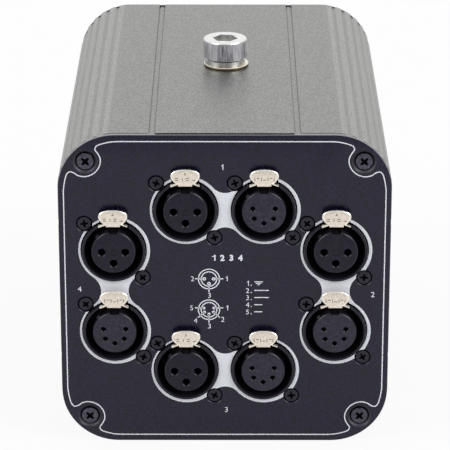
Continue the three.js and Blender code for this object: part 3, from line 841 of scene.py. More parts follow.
def housing_outline(look):
    """The outer profile of the extrusion."""
    points = []
    for side in range(4):
        turn = side * math.pi / 2
        reach = (BODY_HEIGHT if side % 2 else BODY_WIDTH) / 2
        half = (BODY_WIDTH if side % 2 else BODY_HEIGHT) / 2
        for middle in (-look.groove_offset, look.groove_offset):
            points += groove_points(look, turn, reach, middle)
        centre = side_point(turn, reach, half - look.corner_radius, -look.corner_radius)
        points += fluted_corner(look, centre, turn)
    return points


RAIL_HALF_WIDTH = 13 * MM
RAIL_DEPTH = 10 * MM  # from the top face to the rail's lower face
BORE_REACH = 20 * MM
REAR_RECESS = 0.1 * MM  # from the rear plate's face to the housing's rear end
# The painted highlight on the ridges reaches this far down their flanks
RIDGE_HIGHLIGHT_DEPTH = 0.16 * MM  # how far down its flanks a ridge is bright


class SPLITTER_OT_housing(bpy.types.Operator):
    """Builds the fluted housing with its rail and the bore for the bolt"""

    bl_idname = "splitter.housing"
    bl_label = "Housing"

    def execute(self, context):
        settings = context.scene.splitter
        look, panel = settings.housing, settings.panel
        inner = rounded_rectangle(BODY_WIDTH - 2 * look.wall, BODY_HEIGHT - 2 * look.wall,
                                  look.corner_radius - look.wall)
        # The front panel lies on the front end, and the rear panel in a stepped pocket of the other end
        front = PANEL_LOW.y + panel.thickness + panel.gap_width
        rear = REAR_HIGH.y - REAR_RECESS
        stations = [(front, look.edge), (front + look.edge, 0),
                    (rear - look.edge, 0), (rear, look.edge)]
        profile = prism(housing_outline(look), stations, holes=[inner])
        top = BODY_HEIGHT / 2
        rail = centred_box(RAIL_HALF_WIDTH, HOUSING_LOW.y, HOUSING_HIGH.y,
                           top - RAIL_DEPTH, top - look.wall / 2)
        pocket = []
        for inset, depth in ((look.lip, REAR_HIGH.y - panel.rear_edge),
                             (look.ledge, HOUSING_HIGH.y)):
            outline = rounded_rectangle(BODY_WIDTH - 2 * inset, BODY_HEIGHT - 2 * inset,
                                        look.corner_radius - inset, 24)
            pocket.append(prism(outline, [(depth, 0), (rear + PAST, 0)]))
        bore = placed(rod(settings.bolt.radius + GAP, -BORE_REACH, BORE_REACH),
                      Matrix.Translation((0, 0, top)) @ Matrix.Rotation(math.pi / 2, 4, "X"))
        whole = combined(combined(profile, [rail], "UNION"), pocket + [bore], "DIFFERENCE")
        finish = finish_of("aluminium", blasted_aluminium, "bead_blasted_anodised_aluminium",
                           look.colour)
        made = piece(shifted(whole, z=BODY_HEIGHT / 2), "extruded_housing", finish, "root", ["housing"])
        # The ridges between the flutes are painted a little brighter: a painted highlight for the light
        # that they catch
        ridge = finish_of("ridge", blasted_aluminium, "bead_blasted_anodised_ridges",
                          look.ridge_highlight_colour)

        def on_highlighted_ridge(face):
            side = look.corner_radius * 0.9
            at_corner = (abs(face.center.x) > BODY_WIDTH / 2 - side
                         and abs(face.center.z - BODY_HEIGHT / 2) > BODY_HEIGHT / 2 - side)
            return at_corner and abs(face.normal.y) < 0.3 and outward_of(face.center) > -RIDGE_HIGHLIGHT_DEPTH

        refaced(made, ridge, on_highlighted_ridge)
        return {"FINISHED"}


# End plates


def corner_places(look):
    """The middles of the four corner screws, seen from the plate's centre."""
    x = BODY_WIDTH / 2 - look.corner_inset
    z = BODY_HEIGHT / 2 - look.corner_inset
    return [(side_x * x, side_z * z) for side_x in (-1, 1) for side_z in (-1, 1)]


HEAD_GAP = 0.38 * MM  # round each screw's head
CORNER_DISH = 0.85 * MM  # width of the dish round a corner screw
DISH_HIGHLIGHT_REACH = 0.9 * MM  # how far from the screw's hole a face can be part of that dish


def countersink(head_radius, x, z, dish=0.25 * MM):
    """The cutter for a screw hole: a dished mouth, and a gap all round the head."""
    wall = head_radius + HEAD_GAP
    shank = head_radius * 0.65
    seat, bottom = 1.9 * MM, 4 * MM
    profile = [(0, -PAST), (wall + dish, -PAST), (wall + dish, 0), (wall, dish * 0.8),
               (wall - 0.03 * MM, 1.1 * MM), (shank, seat), (shank, bottom), (0, bottom)]
    return shifted(turned(profile, 32), x, 0, z)


def plate_outline(inset):
    """The outline of an end plate, drawn in from the housing's."""
    radius = bpy.context.scene.splitter.housing.corner_radius
    return rounded_rectangle(BODY_WIDTH - 2 * inset, BODY_HEIGHT - 2 * inset, radius - inset, 16)


def plate_edge(edge):
    """The stations of a plate's rounded front edge."""
    return [(0, edge), (edge * 0.3, edge * 0.3), (edge, 0)]


TONGUE = 0.1 * MM  # thickness of the tongue behind the gap


def gap_cutters(settings, total):
    """Cutters for the gap behind the front panel's edge, between the grooves of each side."""
    look = settings.panel
    half = settings.housing.groove_offset - settings.housing.groove_width / 2
    cutters = []
    for side in range(4):
        reach = (BODY_HEIGHT if side % 2 else BODY_WIDTH) / 2
        outline = [side_point(side * math.pi / 2, reach, along, outward) for along, outward in
                   ((-half, -look.gap_depth), (-half, PAST), (half, PAST), (half, -look.gap_depth))]
        # A thin tongue stays at the back, where it touches the housing
        cutters.append(prism(outline, [(look.thickness, 0), (total - TONGUE, 0)]))
    return cutters


def socket_hole(look, x, z):
    """The outline of a round hole with the latch's slot over it."""
    z += look.hole_rise
    half = look.slot_width / 2
    start = math.atan2(math.sqrt(look.hole_radius ** 2 - half ** 2), half)
    soft = 0.4 * MM
    points = arc((x + half - soft, z + look.slot_top - soft), soft, 0, math.pi / 2, 4)
    points += arc((x - half + soft, z + look.slot_top - soft), soft, math.pi / 2, math.pi, 4)
    return points + arc((x, z), look.hole_radius, math.pi - start, 2 * math.pi + start, 56)


class SPLITTER_OT_front_panel(bpy.types.Operator):
    """Builds the front panel with its socket holes and screw holes"""

    bl_idname = "splitter.front_panel"
    bl_label = "Front panel"

    def execute(self, context):
        settings = context.scene.splitter
        look = settings.panel
        total = look.thickness + look.gap_width
        plate = prism(plate_outline(look.play), plate_edge(look.edge) + [(total, 0)])
        centres = [socket_centre(name) for name in SOCKET_NAMES]
        holes = [cutter_through(socket_hole(look, centre.x, centre.z), total) for centre in centres]
        offset = settings.socket.lug_offset
        sinks = [countersink(settings.screw.socket_head_radius, centre.x + side * offset,
                             centre.z - side * offset) for centre in centres for side in (-1, 1)]
        corners = [countersink(settings.screw.corner_head_radius, x, z, CORNER_DISH)
                   for x, z in corner_places(settings.screw)]
        plate = combined(plate, [gathered(holes), gathered(sinks), gathered(corners),
                                 gathered(gap_cutters(settings, total))], "DIFFERENCE")
        made = piece(placed(plate, FRONT_PLACE), "socket_panel", black_plate(), "root",
                     ["front_panel"])
        # The rim of the plate is drawn in a lighter metal: a painted highlight for the sheen along its
        # edges
        rim = finish_of("rim", plated_metal, "machined_aluminium_rim", look.rim_highlight_colour, 0.45,
                        0.6 * MM)
        refaced(made, rim, lambda face: outward_of(face.center) > -0.4 * MM
                and abs(face.normal.y) < 0.9)
        # The wide dishes of the corner screws are drawn in a lighter grey: a painted highlight for the
        # light that they catch
        dish = finish_of("dish", plated_metal, "machined_anodised_dish", linear("#4C4B52"), 0.5,
                         0.6 * MM)
        radius = settings.screw.corner_head_radius + HEAD_GAP

        def in_dish_highlight(face):
            at = Vector((face.center.x, face.center.z))
            away = min((at - Vector((x, z + PANEL_CENTRE.z))).length
                       for x, z in corner_places(settings.screw))
            return radius < away < radius + DISH_HIGHLIGHT_REACH and 0.3 < abs(face.normal.y) < 0.97

        refaced(made, dish, in_dish_highlight)
        return {"FINISHED"}


INPUT_BARREL_RADIUS = 11.6 * MM
INLET_BODY_HALF_WIDTH, INLET_BODY_HALF_HEIGHT = 14 * MM, 15 * MM


class SPLITTER_OT_rear_panel(bpy.types.Operator):
    """Builds the rear panel with the holes of the inputs and the mains inlet"""

    bl_idname = "splitter.rear_panel"
    bl_label = "Rear panel"

    def execute(self, context):
        settings = context.scene.splitter
        look = settings.panel
        total = REAR_HIGH.y - HOUSING_HIGH.y
        step = settings.housing.ledge - settings.housing.lip
        # The plate lies in the lip with a little play
        plate = prism(plate_outline(settings.housing.lip + 0.05 * MM), plate_edge(look.edge)
                      + [(look.rear_edge, 0), (look.rear_edge, step), (total, step)])
        cuts = [countersink(settings.screw.corner_head_radius, x, z, CORNER_DISH)
                for x, z in corner_places(settings.screw)]
        for node in ("input_5pin", "input_3pin"):
            middle = rear_middle(node)
            cuts.append(cutter_through(circle((middle.x, middle.z), INPUT_BARREL_RADIUS + GAP), total))
        middle = rear_middle("mains_inlet")
        half_x, half_z = INLET_BODY_HALF_WIDTH + GAP, INLET_BODY_HALF_HEIGHT + GAP
        cuts.append(box_mesh((middle.x - half_x, -PAST, middle.z - half_z),
                             (middle.x + half_x, total + PAST, middle.z + half_z)))
        plate = combined(plate, [gathered(cuts)], "DIFFERENCE")
        piece(placed(plate, REAR_PLACE), "connector_panel", black_plate(), "root", ["rear_panel"])
        return {"FINISHED"}


# Printed marks


def film(outline, look, holes=()):
    """A thin film of ink on the panel's face."""
    return prism(outline, [(-look.thickness, 0), (look.thickness / 2, 0)], holes)


def bridge(first, second, radius, waist):
    """The outline of two discs and the waisted bridge between them."""
    first, second = Vector(first), Vector(second)
    spacing = (second - first).length
    along = (second - first) / spacing
    across = Vector((-along.y, along.x))
    # A fillet that touches both discs and leaves the waist between the two fillets
    fillet = ((spacing / 2) ** 2 + (waist / 2) ** 2 - radius ** 2) / (2 * (radius - waist / 2))
    middle = (first + second) / 2
    rise = waist / 2 + fillet
    reach = math.atan2(rise, spacing / 2)
    turn = math.atan2(along.y, along.x)
    points = arc(second, radius, turn + reach - math.pi, turn + math.pi - reach, 56)
    lift = middle + across * rise
    points += arc(lift, fillet, turn - reach, turn - math.pi + reach, 16)[1:-1]
    points += arc(first, radius, turn + reach, turn + 2 * math.pi - reach, 56)
    drop = middle - across * rise
    points += arc(drop, fillet, turn + math.pi - reach, turn + reach, 16)[1:-1]
    return points


def stroke_along(path, width, look, closed=False):
    """A line of ink along a path of (x, z) points."""
    count = len(path)
    sides = ([], [])
    for index, point in enumerate(path):
        here = Vector(point)
        last = Vector(path[index - 1]) if index or closed else here
        after = Vector(path[(index + 1) % count]) if index < count - 1 or closed else here
        way = (after - last).normalized()
        across = Vector((-way.y, way.x)) * width / 2
        sides[0].append(tuple(here + across))
        sides[1].append(tuple(here - across))
    if closed:
        return film(sides[1], look, [sides[0]])
    return film(sides[1] + sides[0][::-1], look)


def annulus(centre, outer, inner, look, steps=40):
    """A ring of ink."""
    return film(circle(centre, outer, steps), look, [circle(centre, inner, steps)])


# One corner of the border line, in millimetres from the panel's centre, from the side to the top
BORDER_CORNER = [
    (54.9, 36.8), (54.5, 39.65), (53.85, 42.25), (53.1, 43.4), (52.3, 43.65), (51.1, 43.2),
    (49.8, 42.3), (47.7, 41.9), (45.6, 42.4), (43.85, 43.6), (42.6, 45.4), (42.1, 47.4),
    (42.4, 49.1), (43.2, 50.55), (43.9, 51.65), (43.5, 52.75), (42.7, 53.25), (40.9, 53.85),
    (38.5, 54.35), (35.9, 54.5),
]


def smooth_path(points, steps=4):
    """A path through the points, with a smooth curve between each two."""
    path = []
    for index in range(len(points) - 1):
        before = Vector(points[max(0, index - 1)])
        here, ahead = Vector(points[index]), Vector(points[index + 1])
        beyond = Vector(points[min(len(points) - 1, index + 2)])
        for step in range(steps):
            t = step / steps
            path.append(tuple(0.5 * (2 * here + (ahead - before) * t
                                     + (2 * before - 5 * here + 4 * ahead - beyond) * t ** 2
                                     + (3 * here - before - 3 * ahead + beyond) * t ** 3)))
    return path + [points[-1]]


def border_path():
    """The whole border line, anticlockwise."""
    upper_right = smooth_path([(x * MM, z * MM) for x, z in BORDER_CORNER])
    upper_left = [(-x, z) for x, z in upper_right[::-1]]
    lower_left = [(-x, -z) for x, z in upper_right]
    lower_right = [(x, -z) for x, z in upper_right[::-1]]
    return upper_right + upper_left + lower_left + lower_right


FIGURE_SHARE = 0.72  # height of a figure as a share of the font's size


def lettered(text, x, z, height, look, bold):
    """Plain figures in ink, centred on a point, and bolder by that much on each side."""
    curve = bpy.data.curves.new("figures", "FONT")
    curve.body = text
    curve.size = height / FIGURE_SHARE
    curve.offset = bold
    curve.extrude = look.thickness * 0.75
    curve.resolution_u = 4
    curve.align_x = "CENTER"
    made = bpy.data.objects.new("figures", curve)
    bpy.context.scene.collection.objects.link(made)
    graph = bpy.context.evaluated_depsgraph_get()
    data = bpy.data.meshes.new_from_object(made.evaluated_get(graph))
    mesh = bmesh.new()
    mesh.from_mesh(data)
    bpy.data.objects.remove(made)
    bpy.data.curves.remove(curve)
    bpy.data.meshes.remove(data)
    bmesh.ops.remove_doubles(mesh, verts=mesh.verts, dist=1e-6)
    foot = Matrix.Translation((x, -look.thickness / 4, z - height / 2))
    return placed(mesh, foot @ Matrix.Rotation(math.pi / 2, 4, "X"))


# The outline of a "1", for a height of 1
ONE = [(0.1, 0), (0.26, 0), (0.26, 1), (0.14, 1), (0.04, 0.86), (-0.14, 0.76), (-0.14, 0.62),
       (0.0, 0.68), (0.1, 0.76)]


def numeral(figure, x, z, height, look, bold=0):
    """One figure in ink, centred on a point."""
    if figure != "1":
        return lettered(figure, x, z, height, look, bold)
    wide = 0.9 * height * (1 + 4 * bold / MM)
    return film([(x + px * wide, z + (pz - 0.5) * height) for px, pz in ONE], look)


def pin_places(count, radius):
    """The pins of a connector, evenly spread over the lower part of a circle."""
    spread = math.pi / 2 if count == 3 else math.radians(54)
    angles = [-math.pi / 2 + (index - (count - 1) / 2) * spread for index in range(count)]
    return [(radius * math.cos(angle), radius * math.sin(angle)) for angle in angles]


SMALL_FIGURE = 1.85 * MM  # height of the figures beside the diagrams
TITLE_FIGURE = 2.1 * MM
GROUP_FIGURE = 2.0 * MM


def rings_and_lines(look, x, z, radii, lines, dots):
    """The two rings of a pin diagram and its lead lines, with a dot at the start of each if asked."""
    marks = [annulus((x, z), radius * MM, radius * MM - look.stroke, look) for radius in radii]
    for start, end in lines:
        first = (x + start[0] * MM, z + start[1] * MM)
        if dots:
            marks.append(film(circle(first, 0.52 * MM, 20), look))
        marks.append(stroke_along([first, (x + end[0] * MM, z + end[1] * MM)], look.stroke, look))
    return marks


def small_figures(look, figures):
    """The figures round a pin diagram, at places in millimetres from the panel's centre."""
    return [numeral(figure, x * MM, z * MM, SMALL_FIGURE, look) for figure, (x, z) in figures]


def three_pin_diagram(look):
    """The pin diagram of a 3-pin socket, with its numbers."""
    x, z = -5.42 * MM, 4.2 * MM
    lines = [((2.2, 0.1), (4.95, 0.1)), ((-2.2, 0.1), (-4.85, 0.1)), ((0, -2.3), (0, -4.95))]
    pins = [(1.63 * MM, 0.08 * MM), (-1.63 * MM, 0.08 * MM), (0, -1.7 * MM)]
    marks = rings_and_lines(look, x, z, (3.83, 2.85), lines, False)
    marks += [annulus((x + px, z + pz), 0.62 * MM, 0.26 * MM, look, 20) for px, pz in pins]
    return marks + small_figures(look, [("1", (0.6, 4.35)), ("2", (-11.12, 4.34)),
                                        ("3", (-5.24, -1.85))])


def five_pin_diagram(look):
    """The pin diagram of a 5-pin socket, with its numbers."""
    lines = [((1.75, 0.62), (4.95, 0.72)), ((-1.75, 0.62), (-4.85, 0.72)), ((0, -1.6), (0, -4.9)),
             ((1.55, -0.85), (3.75, -2.95)), ((-1.55, -0.85), (-3.75, -2.95))]
    marks = rings_and_lines(look, -5.44 * MM, -7.24 * MM, (3.86, 2.88), lines, True)
    return marks + small_figures(look, [("1", (0.76, -6.51)), ("2", (-0.67, -10.82)),
                                        ("3", (-5.27, -13.33)), ("4", (-10.05, -11.27)),
                                        ("5", (-11.43, -6.52))])


def legend(look):
    """The list beside the diagrams: plain numbers, each with a generic sign for its line."""
    marks = []
    for row, z in enumerate((2.64, -0.02, -2.67, -5.35, -7.99)):
        z *= MM
        marks.append(numeral(f"{row + 1}", 7.9 * MM, z, SMALL_FIGURE, look))
        marks.append(film(rounded_rectangle(0.34 * MM, 0.34 * MM, 0.08 * MM, 2,
                                            (9.15 * MM, z - 0.75 * MM)), look))
        left, right = 10.2 * MM, 15.2 * MM
        if row == 0:
            for share, drop in ((1, 0.55), (0.62, 0), (0.25, -0.55)):
                half = share * 1.5 * MM
                marks.append(stroke_along([(left + 1.5 * MM - half, z + drop * MM),
                                           (left + 1.5 * MM + half, z + drop * MM)], 0.3 * MM, look))
        else:
            reach = right if row < 3 else left + 2.8 * MM
            marks.append(stroke_along([(left, z), (reach, z)], 0.34 * MM, look))
    return marks


class SPLITTER_OT_printed_marks(bpy.types.Operator):
    """Prints the rings, the border line, the pin diagrams and the numbers on the front panel"""

    bl_idname = "splitter.printed_marks"
    bl_label = "Printed marks"

    def execute(self, context):
        settings = context.scene.splitter
        look = settings.marks
        panel = settings.panel
        offset = settings.socket.lug_offset
        finish = finish_of("ink", printed_ink, look.colour)

        def printed_piece(ink, name):
            piece(placed(ink, FRONT_PLACE), name, finish, "root", [])

        for group, waist in ((1, look.upper_waist), (2, look.side_waist),
                             (3, look.upper_waist), (4, look.side_waist)):
            centres = [socket_centre(f"out{group}_{pins}pin") for pins in (3, 5)]
            flat = [(centre.x, centre.z) for centre in centres]
            # The screen was laid on a little to the right, and prints a little tall
            printed = [(x + look.shift, z * look.spread) for x, z in flat]
            ink = film(bridge(printed[0], printed[1], look.ring_radius, waist), look)
            cuts = [cutter_through(socket_hole(panel, x, z), 0) for x, z in flat]
            cuts += [cutter_through(circle((x + side * offset, z - side * offset),
                                           look.screw_surround, 32), 0)
                     for x, z in flat for side in (-1, 1)]
            printed_piece(combined(ink, cuts, "DIFFERENCE"), f"printed_pair_{group}")
        printed_piece(stroke_along(border_path(), look.border_width, look, closed=True),
                      "printed_border")
        diagrams = gathered(three_pin_diagram(look) + five_pin_diagram(look) + legend(look))
        # The diagrams are printed a little above their place on the drawing
        printed_piece(shifted(diagrams, z=look.rise), "printed_diagrams")
        figures = [numeral(str(index + 1), (-3.9 + 3.1 * index) * MM, 12.35 * MM, TITLE_FIGURE, look,
                           0.13 * MM) for index in range(4)]
        places = (("1", (-0.92, 45.33)), ("2", (51.08, -1.2)), ("3", (0.6, -44.85)),
                  ("4", (-50.0, 0.75)))
        figures += [numeral(figure, x * MM, z * MM, GROUP_FIGURE, look) for figure, (x, z) in places]
        printed_piece(gathered(figures), "printed_numbers")
        return {"FINISHED"}


# Sockets


BACK_WALL = 3 * MM  # behind the cavity
FLANGE_THICKNESS = 1.5 * MM  # of the insert, behind that wall
SHELL_RADIUS = 11.9 * MM


def shell_mesh(look, panel):
    """The socket's black shell: collar, barrel, and the box that the latch swings in."""
    outer, inner = look.collar_radius, look.cavity_radius
    proud = -look.collar_proud
    lip = 0.3 * MM
    panel_back = panel.thickness + panel.gap_width
    back = look.cavity_depth + BACK_WALL
    bore = look.insert_radius + GAP
    profile = [(inner + lip, proud), (outer - lip, proud), (outer - lip * 0.3, proud + lip * 0.3),
               (outer, proud + lip), (outer, panel_back), (SHELL_RADIUS, panel_back),
               (SHELL_RADIUS, back), (bore, back), (bore, look.cavity_depth),
               (inner - 0.3 * MM, look.cavity_depth), (inner - 0.15 * MM, 2 * MM),
               (inner, proud + lip), (inner + lip * 0.3, proud + lip * 0.3)]
    shell = turned(profile, 64, closed=True)
    box = centred_box(half=7.3 * MM, front=panel_back, back=10.6 * MM, bottom=9 * MM, top=14.1 * MM)
    channel = centred_box(half=5.3 * MM, front=-3 * MM, back=9.6 * MM, bottom=8 * MM, top=13.1 * MM)
    # The pocket takes the ends of the latch's pivot pin
    pocket = centred_box(half=6.3 * MM, front=5.8 * MM, back=8.2 * MM, bottom=9.6 * MM, top=12.1 * MM)
    lugs, bores = [
        [shifted(rod(radius, start, end, sides), side * look.lug_offset, 0, -side * look.lug_offset)
         for side in (-1, 1)]
        for radius, start, end, sides in ((2.6 * MM, panel_back, panel_back + 8 * MM, 24),
                                          (1.6 * MM, 0, 14 * MM, 16))]
    shell = combined(shell, [box] + lugs, "UNION")
    return combined(shell, [channel, pocket] + bores, "DIFFERENCE")


def insert_mesh(look, pins):
    """The insert that holds the contacts, with its key slot and chamfered holes."""
    radius = look.insert_radius
    face = -look.insert_proud
    soft = 0.4 * MM
    flange = 9.3 * MM
    back = look.cavity_depth + BACK_WALL
    profile = [(0, face), (radius - soft, face), (radius - soft * 0.8, face + soft * 0.1),
               (radius - soft * 0.1, face + soft * 0.8), (radius, face + soft), (radius, back),
               (flange, back), (flange, back + FLANGE_THICKNESS), (0, back + FLANGE_THICKNESS)]
    body = turned(profile, 64)
    nub = prism(rounded_rectangle(1.5 * MM, 1.3 * MM, 0.3 * MM, 3),
                [(face + 0.5 * MM, 0.2 * MM), (face + 0.8 * MM, 0), (face + 7 * MM, 0)])
    nub = placed(nub, Matrix.Rotation(math.radians(45), 4, "Y").inverted()
                 @ Matrix.Translation((0, 0, radius + 0.1 * MM)))
    body = combined(body, [nub], "UNION")
    key = prism(rounded_rectangle(3.2 * MM, 1.7 * MM, 0.4 * MM, 4),
                [(face - PAST, 0), (face + 9 * MM, 0)])
    hole_radius = look.three_pin_radius if pins == 3 else look.five_pin_radius
    mouth = 0.2 * MM
    holes = []
    notches = []
    for x, z in pin_places(pins, look.pin_circle_radius):
        hole = [(0, face - PAST), (hole_radius + mouth, face - PAST), (hole_radius + mouth, face),
                (hole_radius, face + mouth), (hole_radius, back + 3 * MM), (0, back + 3 * MM)]
        holes.append(shifted(turned(hole, 24), x, 0, z))
        # A small notch in the lower edge of each hole
        low = z - hole_radius - 0.3 * MM
        outline = [(x, low), (x + 0.3 * MM, low + 0.6 * MM), (x - 0.3 * MM, low + 0.6 * MM)]
        notches.append(prism(outline, [(face - PAST, 0), (face + 3 * MM, 0)]))
    cuts = [shifted(key, z=radius), gathered(holes), gathered(notches)]
    if pins == 3:
        # The ring that the mould's gate leaves in the middle
        gate_inner, gate_outer, floor = 0.95 * MM, 1.2 * MM, face + 0.15 * MM
        cuts.append(turned([(gate_inner, face - PAST), (gate_outer, face - PAST), (gate_outer, floor),
                            (gate_inner, floor)], 24, closed=True))
    return combined(body, cuts, "DIFFERENCE")


class SPLITTER_OT_sockets(bpy.types.Operator):
    """Builds the shells and contact inserts of the eight sockets"""

    bl_idname = "splitter.sockets"
    bl_label = "Sockets"

    def execute(self, context):
        settings = context.scene.splitter
        look = settings.socket
        insert_finishes = {3: finish_of("insert_3", moulded_plastic, "moulded_nylon_black_satin",
                                        look.three_pin_colour, 0.34, 0.7 * MM),
                           5: finish_of("insert_5", moulded_plastic, "moulded_nylon_charcoal",
                                        look.five_pin_colour, 0.34, 0.7 * MM, 0.4)}
        proud = PANEL_LOW.y - look.collar_proud
        face_depth = PANEL_LOW.y - look.insert_proud
        rim = finish_of("nylon_rim", polished_plastic, look.three_pin_colour)
        # Deep in each socket the nylon is painted near-black and rough: painted shade of the hollows
        hollow_shade = finish_of("hollow", painted_shade_plastic, "dull_nylon_hollow", linear("#15131C"))
        shell = shell_mesh(look, settings.panel)
        inserts = {pins: insert_mesh(look, pins) for pins in (3, 5)}

        def shaded_and_rimmed(made, front, shade_from, rim_to):
            """Paints shade on what lies deepest, and polishes the bevels at the front."""
            refaced(made, hollow_shade, lambda face: face.center.y > front + shade_from)
            refaced(made, rim, lambda face: face.center.y < front + rim_to
                    and 0.25 < abs(face.normal.y) < 0.97)

        for name in SOCKET_NAMES:
            pins = pins_of(name)
            made = piece(placed(shell.copy(), socket_place(name)), f"{name}_collar", black_nylon(),
                         "root", [f"{name}_shell"])
            shaded_and_rimmed(made, proud, 0.5 * MM, 0.45 * MM)
            made = piece(placed(inserts[pins].copy(), socket_place(name)), f"{name}_contact_holder",
                         insert_finishes[pins], "root", [f"{name}_insert"])
            shaded_and_rimmed(made, face_depth, 1.4 * MM, 0.8 * MM)
        for mesh in [shell, *inserts.values()]:
            mesh.free()
        return {"FINISHED"}


# Latches


# The right half of each kind of tab, in millimetres from the socket's centre, from the neck upwards
TAB_HALVES = {
    3: [(2.4, 10.35), (2.6, 10.75), (3.4, 11.0), (4.0, 11.55), (4.55, 12.2), (4.85, 12.9),
        (4.93, 13.6), (4.8, 14.3), (4.35, 14.85), (3.7, 15.25), (2.9, 15.55), (1.7, 15.82), (0, 15.9)],
    5: [(2.4, 10.35), (2.6, 10.75), (3.3, 11.05), (3.95, 11.65), (4.5, 12.3), (4.85, 13.0),
        (4.93, 13.6), (4.75, 14.25), (4.25, 14.85), (3.55, 15.3), (2.7, 15.6), (1.5, 15.84), (0, 15.9)],
}


# The grip marks of each kind of tab: middle, width and height in millimetres
GRIP_MARKS = {
    3: [(-2.9, 12.15, 1.1, 0.28), (-2.9, 12.85, 1.1, 0.28), (0.75, 12.15, 1.1, 0.28),
        (0.75, 12.85, 1.1, 0.28), (2.9, 12.15, 1.1, 0.28), (-0.9, 12.5, 0.28, 1.0),
        (0, 14.2, 0.8, 0.28), (0, 14.7, 0.5, 0.28)],
    5: [(-3.2, 12.6, 0.3, 1.3), (-2.1, 12.9, 0.9, 0.3), (-1.0, 12.6, 0.3, 1.3), (0.1, 12.3, 0.9, 0.3),
        (1.2, 12.6, 0.3, 1.3), (2.3, 12.9, 0.9, 0.3), (3.3, 12.6, 0.3, 1.3)],
}

TAB_STANDOFF = 1 * MM  # between the collar and the tab
# Below this drop the tab's lip gets the painted highlight of the tab's edges
HIGHLIGHT_LIP_DROP = 1.45 * MM  # from the lowest grip marks down to the polished lip


def tab_front(settings):
    """The depth of the tab's outer face, from the panel's."""
    return -settings.socket.collar_proud - TAB_STANDOFF - settings.latch.tab_thickness


def tab_outline(pins):
    """The tab's outline: a crowned top, round sides, and a lower part that narrows to the neck."""
    half = smooth_path([(x * MM, z * MM) for x, z in TAB_HALVES[pins]], 3)
    return half + [(-x, z) for x, z in half[-2::-1]]


def latch_mesh(settings, pins):
    """The release latch: tab, ears, neck, arm, pivot pin and hook."""
    look = settings.latch
    front = tab_front(settings)
    back = front + look.tab_thickness
    soft = 0.3 * MM
    tab = prism(tab_outline(pins), [(front, soft * 1.6), (front + soft * 0.5, soft * 0.5),
                                    (front + soft, 0), (back - soft / 2, 0), (back, soft / 2)])
    half_neck = look.neck_width / 2
    arm_bottom, arm_back = 9.95 * MM, 7.9 * MM
    arm_top = arm_bottom + 1.2 * MM
    neck = centred_box(half_neck, front + 0.1 * MM, arm_back, arm_bottom, arm_top)
    ears = []
    for side in (-1, 1):
        # Each ear slopes down and out from the neck's corner
        start = Vector((side * (half_neck + 0.1 * MM), 10.85 * MM))
        end = Vector((side * 4.95 * MM, 9.95 * MM))
        way = (end - start).normalized()
        across = Vector((-way.y, way.x)) * 0.27 * MM
        outline = [tuple(start - across), tuple(end - across), tuple(end + across),
                   tuple(start + across)]
        if side < 0:
            outline.reverse()
        ears.append(prism(outline, [(front + 0.2 * MM, 0.08 * MM), (front + 0.35 * MM, 0),
                                    (back + 0.2 * MM, 0)]))
    arm = centred_box(4.5 * MM, 2.8 * MM, arm_back, arm_bottom, arm_top)
    pin_radius, pin_reach, pin_depth = 0.9 * MM, 6 * MM, 7 * MM
    pin = placed(rod(pin_radius, -pin_reach, pin_reach, 24),
                 Matrix.Translation((0, pin_depth, arm_bottom + pin_radius))
                 @ Matrix.Rotation(math.pi / 2, 4, "Z"))
    hook = centred_box(half=1.5 * MM, front=2.4 * MM, back=4 * MM, bottom=arm_bottom - 0.85 * MM,
                       top=arm_top - 0.6 * MM)
    latch = combined(tab, [neck] + ears + [arm, pin, hook], "UNION")
    # Short sunk grip marks for the thumb
    marks = [prism(rounded_rectangle(width * MM, height * MM, 0.1 * MM, 3, (x * MM, z * MM)),
                   [(front - PAST, 0), (front + 0.3 * MM, 0)])
             for x, z, width, height in GRIP_MARKS[pins]]
    return combined(latch, [gathered(marks)], "DIFFERENCE")


class SPLITTER_OT_latches(bpy.types.Operator):
    """Builds the nickel release latch of each socket"""

    bl_idname = "splitter.latches"
    bl_label = "Latches"

    def execute(self, context):
        settings = context.scene.splitter
        look = settings.latch
        finish = finish_of("nickel", plated_metal, "tumbled_nickel_plating", look.colour, 0.36,
                           0.55 * MM, 0.78, 1.1)
        dark = finish_of("mark", plated_metal, "nickel_in_sunk_marks", linear("#B8AD9E"), 0.5,
                         0.5 * MM)
        polished = finish_of("nickel_edge", plated_metal, "polished_nickel_edge", linear("#FBF4EA"),
                             0.3, 1 * MM, 0.95, 1.02, 0.05)
        shapes = {pins: latch_mesh(settings, pins) for pins in (3, 5)}
        front = PANEL_LOW.y + tab_front(settings)
        for name in SOCKET_NAMES:
            pins = pins_of(name)
            group = name[3]
            made = piece(placed(shapes[pins].copy(), socket_place(name)), f"{name}_release_tab",
                         finish, f"latch_{group}_{pins}pin", [f"{name}_latch"])
            centre = socket_centre(name)
            low = PANEL_CENTRE.z + centre.z + 11.9 * MM
            # The tab's edges, its lip and its ears are a little smoother from tumbling, and painted a
            # lighter nickel: a painted highlight
            refaced(made, polished, lambda face: face.center.y < front + look.tab_thickness
                    and (abs(face.normal.y) < 0.95 or face.center.z < low - HIGHLIGHT_LIP_DROP))
            # The sunk marks are painted a darker nickel: painted shade in them
            refaced(made, dark, lambda face: front + 0.1 * MM < face.center.y < front + 0.32 * MM
                    and abs(face.center.x - centre.x) < 3.9 * MM
                    and low < face.center.z < low + 3.1 * MM)
        for mesh in shapes.values():
            mesh.free()
        return {"FINISHED"}


# Screws


